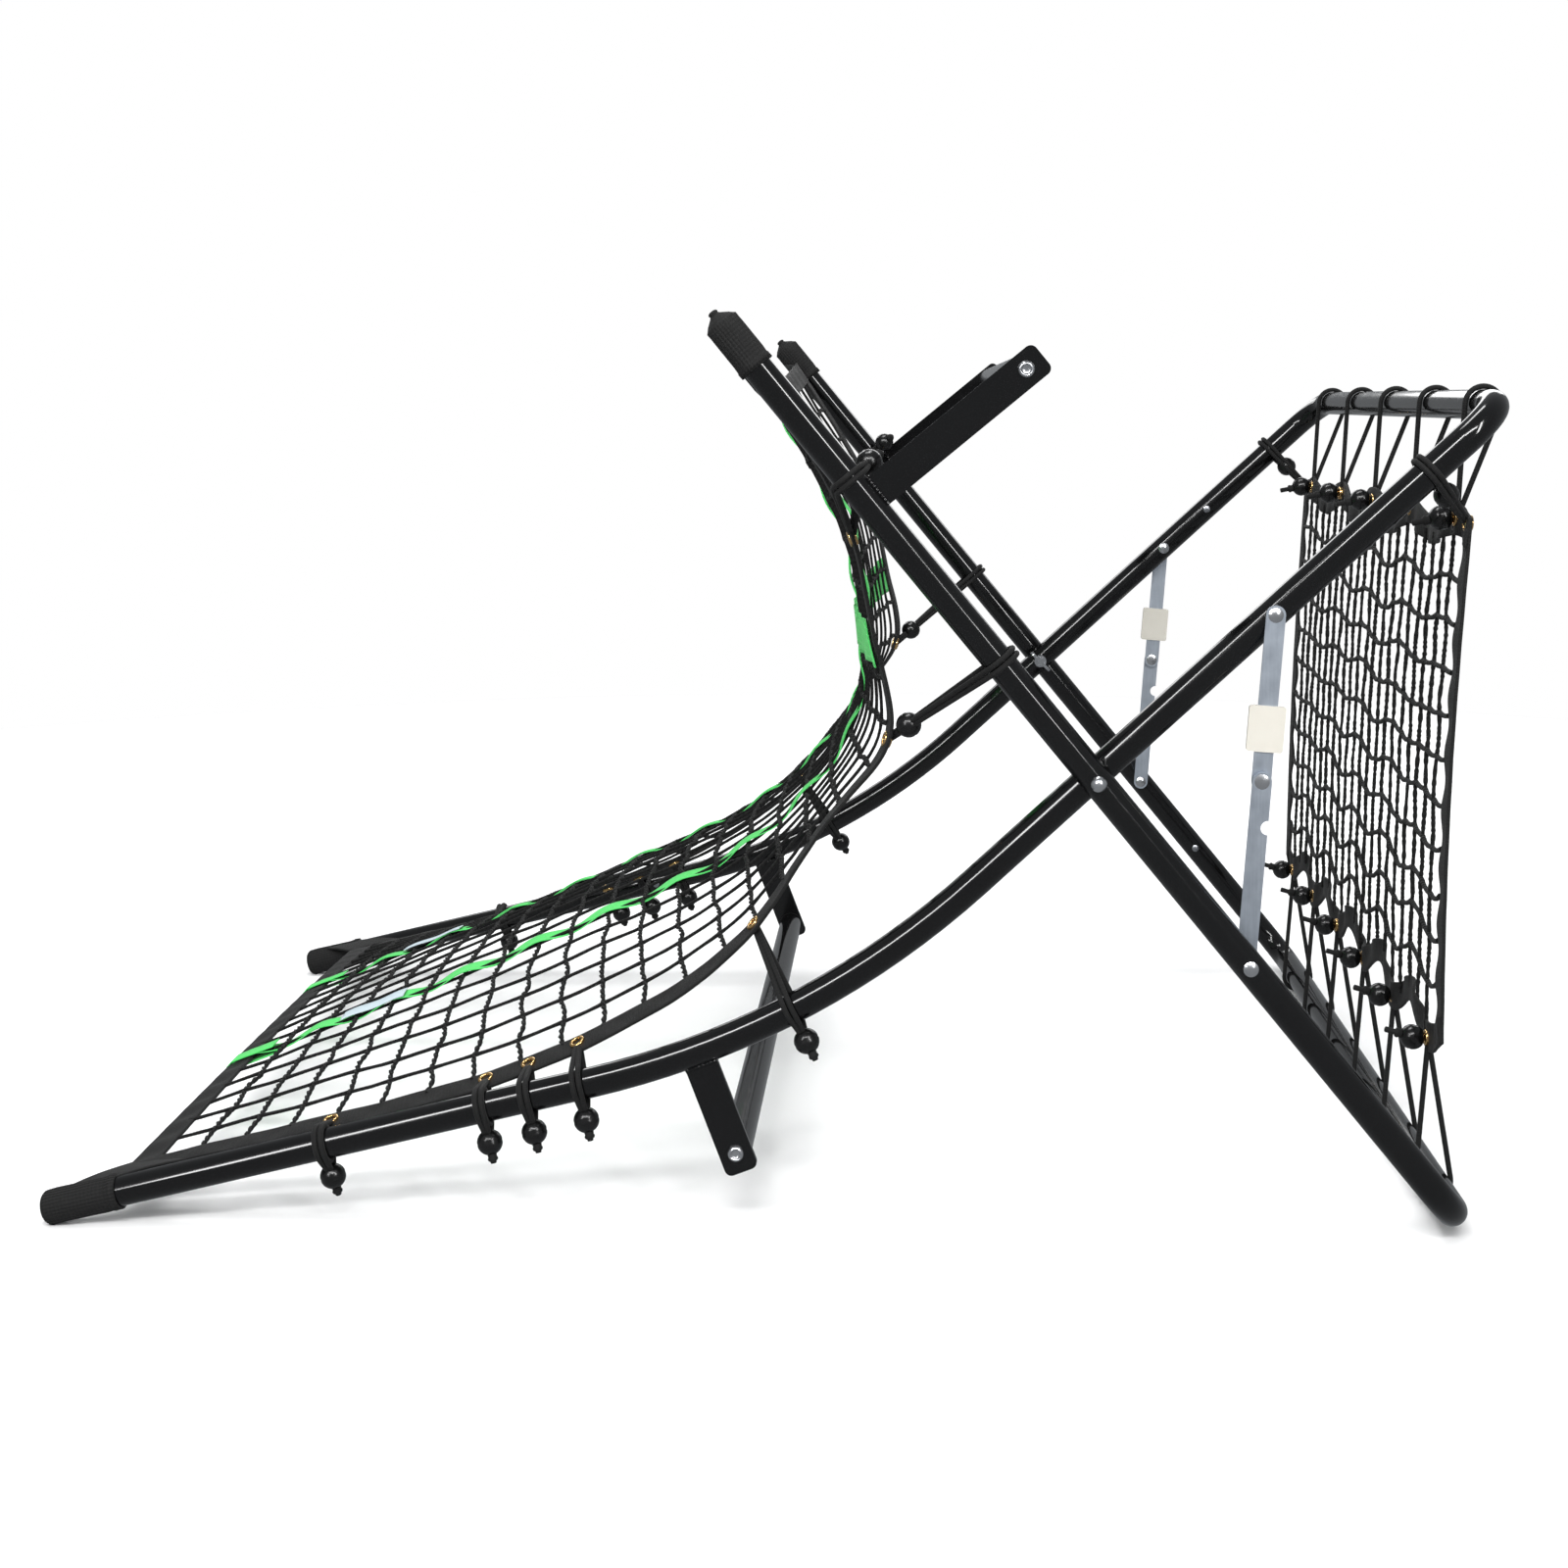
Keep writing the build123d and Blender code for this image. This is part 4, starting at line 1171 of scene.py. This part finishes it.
def rearSpots():
    gap = ramp["grommetIn"]
    top = [atSide(rearTop + rearDown * gap, y) for y in rearYs(rear["topLoops"])]
    bottom = [atSide(rearBottom - rearDown * gap, y) for y in rearYs(rear["bottomLoops"])]
    corner = rearTop + rearDown * rear["sideFromTop"]
    sides = [atSide(corner, side * (rear["wide"] / 2 - gap)) for side in (-1, 1)]
    return top, bottom, sides


rearCords = makeRearNet()
declareHems(makeRearHems(), "rear_net")
topSpots, bottomSpots, sideSpots = rearSpots()


def rearJobs():
    balls = ballSpots("rear_top_balls")
    cross = Vector((0, 1, 0))
    top, bottom = [], []
    for spot in topSpots:
        bar = atSide(spots["innerBar"], spot.y)
        top.append((bar, cross, spot, nearestBall(balls, spot), False, (0.0,)))
    for spot, side in zip(sideSpots, (-1, 1)):
        along = (spot - spots["pivot"]).dot(upperDir)
        leg = atSide(spots["pivot"] + upperDir * along, side * spots["innerHalf"])
        top.append((leg, upperDir, spot, nearestBall(balls, leg), True, twins))
    balls = ballSpots("rear_bottom_balls")
    for spot in bottomSpots:
        bar = atSide(spots["outerBar"], spot.y)
        bottom.append((bar, cross, spot, nearestBall(balls, spot), False, (0.0,)))
    return top, bottom


rearSettings = [(spot, rearAway) for spot in topSpots + bottomSpots + sideSpots]
addGrommets("rearGrommets", rearSettings, "rear_grommets", bendRear)
topJobs, bottomJobs = rearJobs()
loopSet("rearTop", "rear_top", topJobs, "inner_frame", bungee["rearTail"])
loopSet("rearBottom", "rear_bottom", bottomJobs, "outer_frame", bungee["rearTail"])
print("rear net made")

pocket = {
    "ribs": 30,
    "wall": 0.0014,
    "gap": 0.0002,
    "crease": 0.0004,
    # length along the leg, rise of the nose, and radius of its tip
    "toe": (0.056, 0.0058, 0.0095),
    "top": (0.042, 0.0125, 0.0042),
}
# the ends of the legs: the way out of the tube, its distance from the middle and its body
legEnds = (
    ("toe", spots["toeEnd"], turned(legs["toeSlope"] + 180), spots["innerHalf"], "inner_frame"),
    ("top", spots["outerTop"], outerUp, spots["outerHalf"], "outer_frame"),
)


def pocketShape(long, nose, tip):
    # a webbing sleeve sewn shut at its tip, with a turned hem at its mouth
    inside = legs["tube"] + pocket["gap"]
    r = inside + pocket["wall"]
    mouth = -long
    profile = [(inside, mouth), (r + 0.0006, mouth), (r + 0.0008, mouth + 0.005)]
    profile += [(r + 0.0001, mouth + 0.0065), (r, mouth + 0.012), (r, -0.004), (r, 0.0035)]
    if tip < 0.006:
        # gathered to a stitched nub
        profile += [(r * 0.93, 0.0048), (r * 0.74, 0.0075), (tip * 1.18, 0.0115), (tip * 0.92, 0.0128)]
        profile += [(tip * 1.05, 0.0140), (tip * 0.9, 0.0152), (tip * 0.5, 0.0159)]
    else:
        for k in range(1, 9):
            a = math.pi / 2 * k / 8
            profile.append((tip + (r - tip) * math.cos(a), 0.0035 + nose * math.sin(a)))
    return spinMesh(profile + [(0, 0.0035 + nose)], pocket["ribs"] * 4)


def wrapAround(bm):
    # UV x goes round the sleeve and y along it, in metres
    layer = bm.loops.layers.uv.new("UVMap")
    reach = legs["tube"] + pocket["gap"] + pocket["wall"]
    for face in bm.faces:
        turns = [math.atan2(loop.vert.co.y, loop.vert.co.x) for loop in face.loops]
        wraps = max(turns) - min(turns) > math.pi
        for loop, a in zip(face.loops, turns):
            if wraps and a < 0:
                a += math.tau
            loop[layer].uv = (a * reach, loop.vert.co.z)


def makePockets():
    for side, name in bothSides:
        for kind, end, out, half, body in legEnds:
            bm = pocketShape(*pocket[kind])
            wrapAround(bm)
            for vertex in bm.verts:
                # soft creases and fine ribs round the sleeve
                a = math.atan2(vertex.co.y, vertex.co.x)
                crease = pocket["crease"] * math.sin(a * 5 + vertex.co.z * 260)
                crease += 0.00035 * math.sin(a * pocket["ribs"])
                radial = Vector((vertex.co.x, vertex.co.y, 0))
                if radial.length > legs["tube"] + 0.001:
                    vertex.co += radial.normalized() * crease
            mesh = placedCopies(bm, "pocket", [(atSide(end, side * half), out)])
            piece = addPiece(f"{kind}Pocket{name}", mesh, "pocket")
            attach(piece, body)
            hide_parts(f"{kind}_pocket_{name.lower()}")


makePockets()
print("pockets made")

wing = {
    "from": 0.010,  # the leg's end to the webbing's first edge
    "long": 0.046,
    "onNet": 0.050,  # of the net's length
    "spread": 0.05,  # of half the net's width
    "proud": 0.0125,  # of the leg's axis
    "bulge": 0.0015,
    "thick": 0.0022,
}


def wingMesh(name, side, start, inward, end, along, half):
    # the webbing between a pocket and the net's corner
    def place(x, y):
        # x from the pocket to the net, y along the leg
        reach = wing["from"] + wing["long"] * y
        outer = np.array([atSide(end, side * half)]) + reach[:, None] * np.array(along)
        normal = rampNormal(np.full_like(y, start), np.full_like(y, side * 0.97))
        outer = outer + normal * wing["proud"]
        u = np.clip(start + inward * (wing["onNet"] * y), 0, 1)
        inner = rampAt(u, side * (1 - wing["spread"] * (1 - y)), 0.0006)
        bulge = np.sin(math.pi * x)[:, None] * normal * wing["bulge"]
        return outer * (1 - x)[:, None] + inner * x[:, None] + bulge

    return bandMesh(name, place, 10, 14, 0.03, 0.05)


for side, sideName in bothSides:
    for (kind, end, out, half, body), (start, inward) in zip(legEnds, ((0.0, 1), (1.0, -1))):
        wingName = f"{kind}Wing{sideName}"
        mesh = wingMesh(wingName, side, start, inward, end, out * -1, half)
        cornerWing = addPiece(wingName, mesh, "pocket")
        thicken(cornerWing, wing["thick"], 0.0006)
        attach(cornerWing, body)

head = {
    "radius": 0.0070,
    "rise": 0.0040,
    "mouth": 0.0039,  # radius of the recess
    "deep": 0.0022,
    "edge": 0.0006,
    "step": 0.0008,
}


def boltHeadShape():
    # a pan head with a round recess, and a smaller flat floor in it
    radius, mouth, edge = head["radius"], head["mouth"], head["edge"]
    over, up = radius - mouth, head["rise"] - edge
    profile = [(radius * 0.985, 0.0), (radius, edge)]
    for k in range(1, 8):
        a = math.pi / 2 * k / 8
        profile.append((mouth + over * math.cos(a), edge + up * math.sin(a)))
    bm = spinMesh(profile, 36)
    bmesh.ops.holes_fill(bm, edges=[e for e in bm.edges if e.is_boundary], sides=0)
    bmesh.ops.recalc_face_normals(bm, faces=bm.faces)
    top = max(bm.faces, key=lambda f: f.calc_center_median().z)
    for drop in (head["deep"], edge):
        bmesh.ops.inset_individual(bm, faces=[top], thickness=head["step"], depth=0.0)
        bmesh.ops.translate(bm, verts=list(top.verts), vec=(0, 0, -drop))
    return bm


def makeBoltHeads(node, name, body):
    middle = middleOf(node)
    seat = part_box(node)[1].y - head["rise"]
    settings = [(atSide(middle, side * seat), (0, side, 0)) for side in (-1, 1)]
    piece = addPiece(name, placedCopies(boltHeadShape(), name, settings), "zinc")
    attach(piece, body)
    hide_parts(node)


makeBoltHeads("lower_bracket_bolts", "lowerBracketHeads", "inner_frame")
makeBoltHeads("upper_bracket_bolts", "upperBracketHeads", "outer_frame")

weld = {"radius": 0.0017, "long": 0.028, "aside": 0.0030, "lumps": 0.25}


def weldBead(name, foot, direction, armDir, half, body):
    # a lumpy bead on both faces of each arm's root, where it meets the leg
    count = 40
    reach = math.sqrt(legs["tube"] ** 2 - weld["aside"] ** 2)
    lines = []
    for side in (-1, 1):
        for face in (-1, 1):
            points = []
            for k in range(count):
                along = (k / (count - 1) - 0.5) * weld["long"]
                place = foot + direction * along + armDir * reach
                points.append(tuple(atSide(place, side * half + face * weld["aside"])))
            shares = 1 + weld["lumps"] * np.sin(np.arange(count) * 1.3)
            lines.append((points, shares + noiseDraw.uniform(-0.1, 0.1, count)))
    piece = addPiece(name, cordMesh(name, lines, weld["radius"]), "frame")
    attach(piece, body)


def makeWelds():
    bolt = middleOf("lower_bracket_bolts")
    spotsBy = (innerAxis(0.4 + k * 0.001) for k in range(300))
    foot, slope = min(spotsBy, key=lambda spot: (spot[0] - bolt).length)
    weldBead("lowerArmWelds", foot, turned(slope), turned(slope - 90), spots["innerHalf"], "inner_frame")
    along = (middleOf("upper_bracket_bolts") - spots["pivot"]).dot(outerUp)
    foot, armDir = spots["pivot"] + outerUp * along, turned(90 - legs["outerSlope"])
    weldBead("upperArmWelds", foot, outerUp, armDir, spots["outerHalf"], "outer_frame")


makeWelds()
print("hardware made")


def addFloor():
    bm = bmesh.new()
    bmesh.ops.create_circle(bm, cap_ends=True, radius=3.0, segments=96)
    bmesh.ops.translate(bm, verts=bm.verts, vec=(0, 0, -0.0006))
    floor = addPiece("floor", meshOf(bm, "floor"), "floor")
    floor.visible_glossy = False    # so that the tubes reflect only the lights


addFloor()
print("floor made")
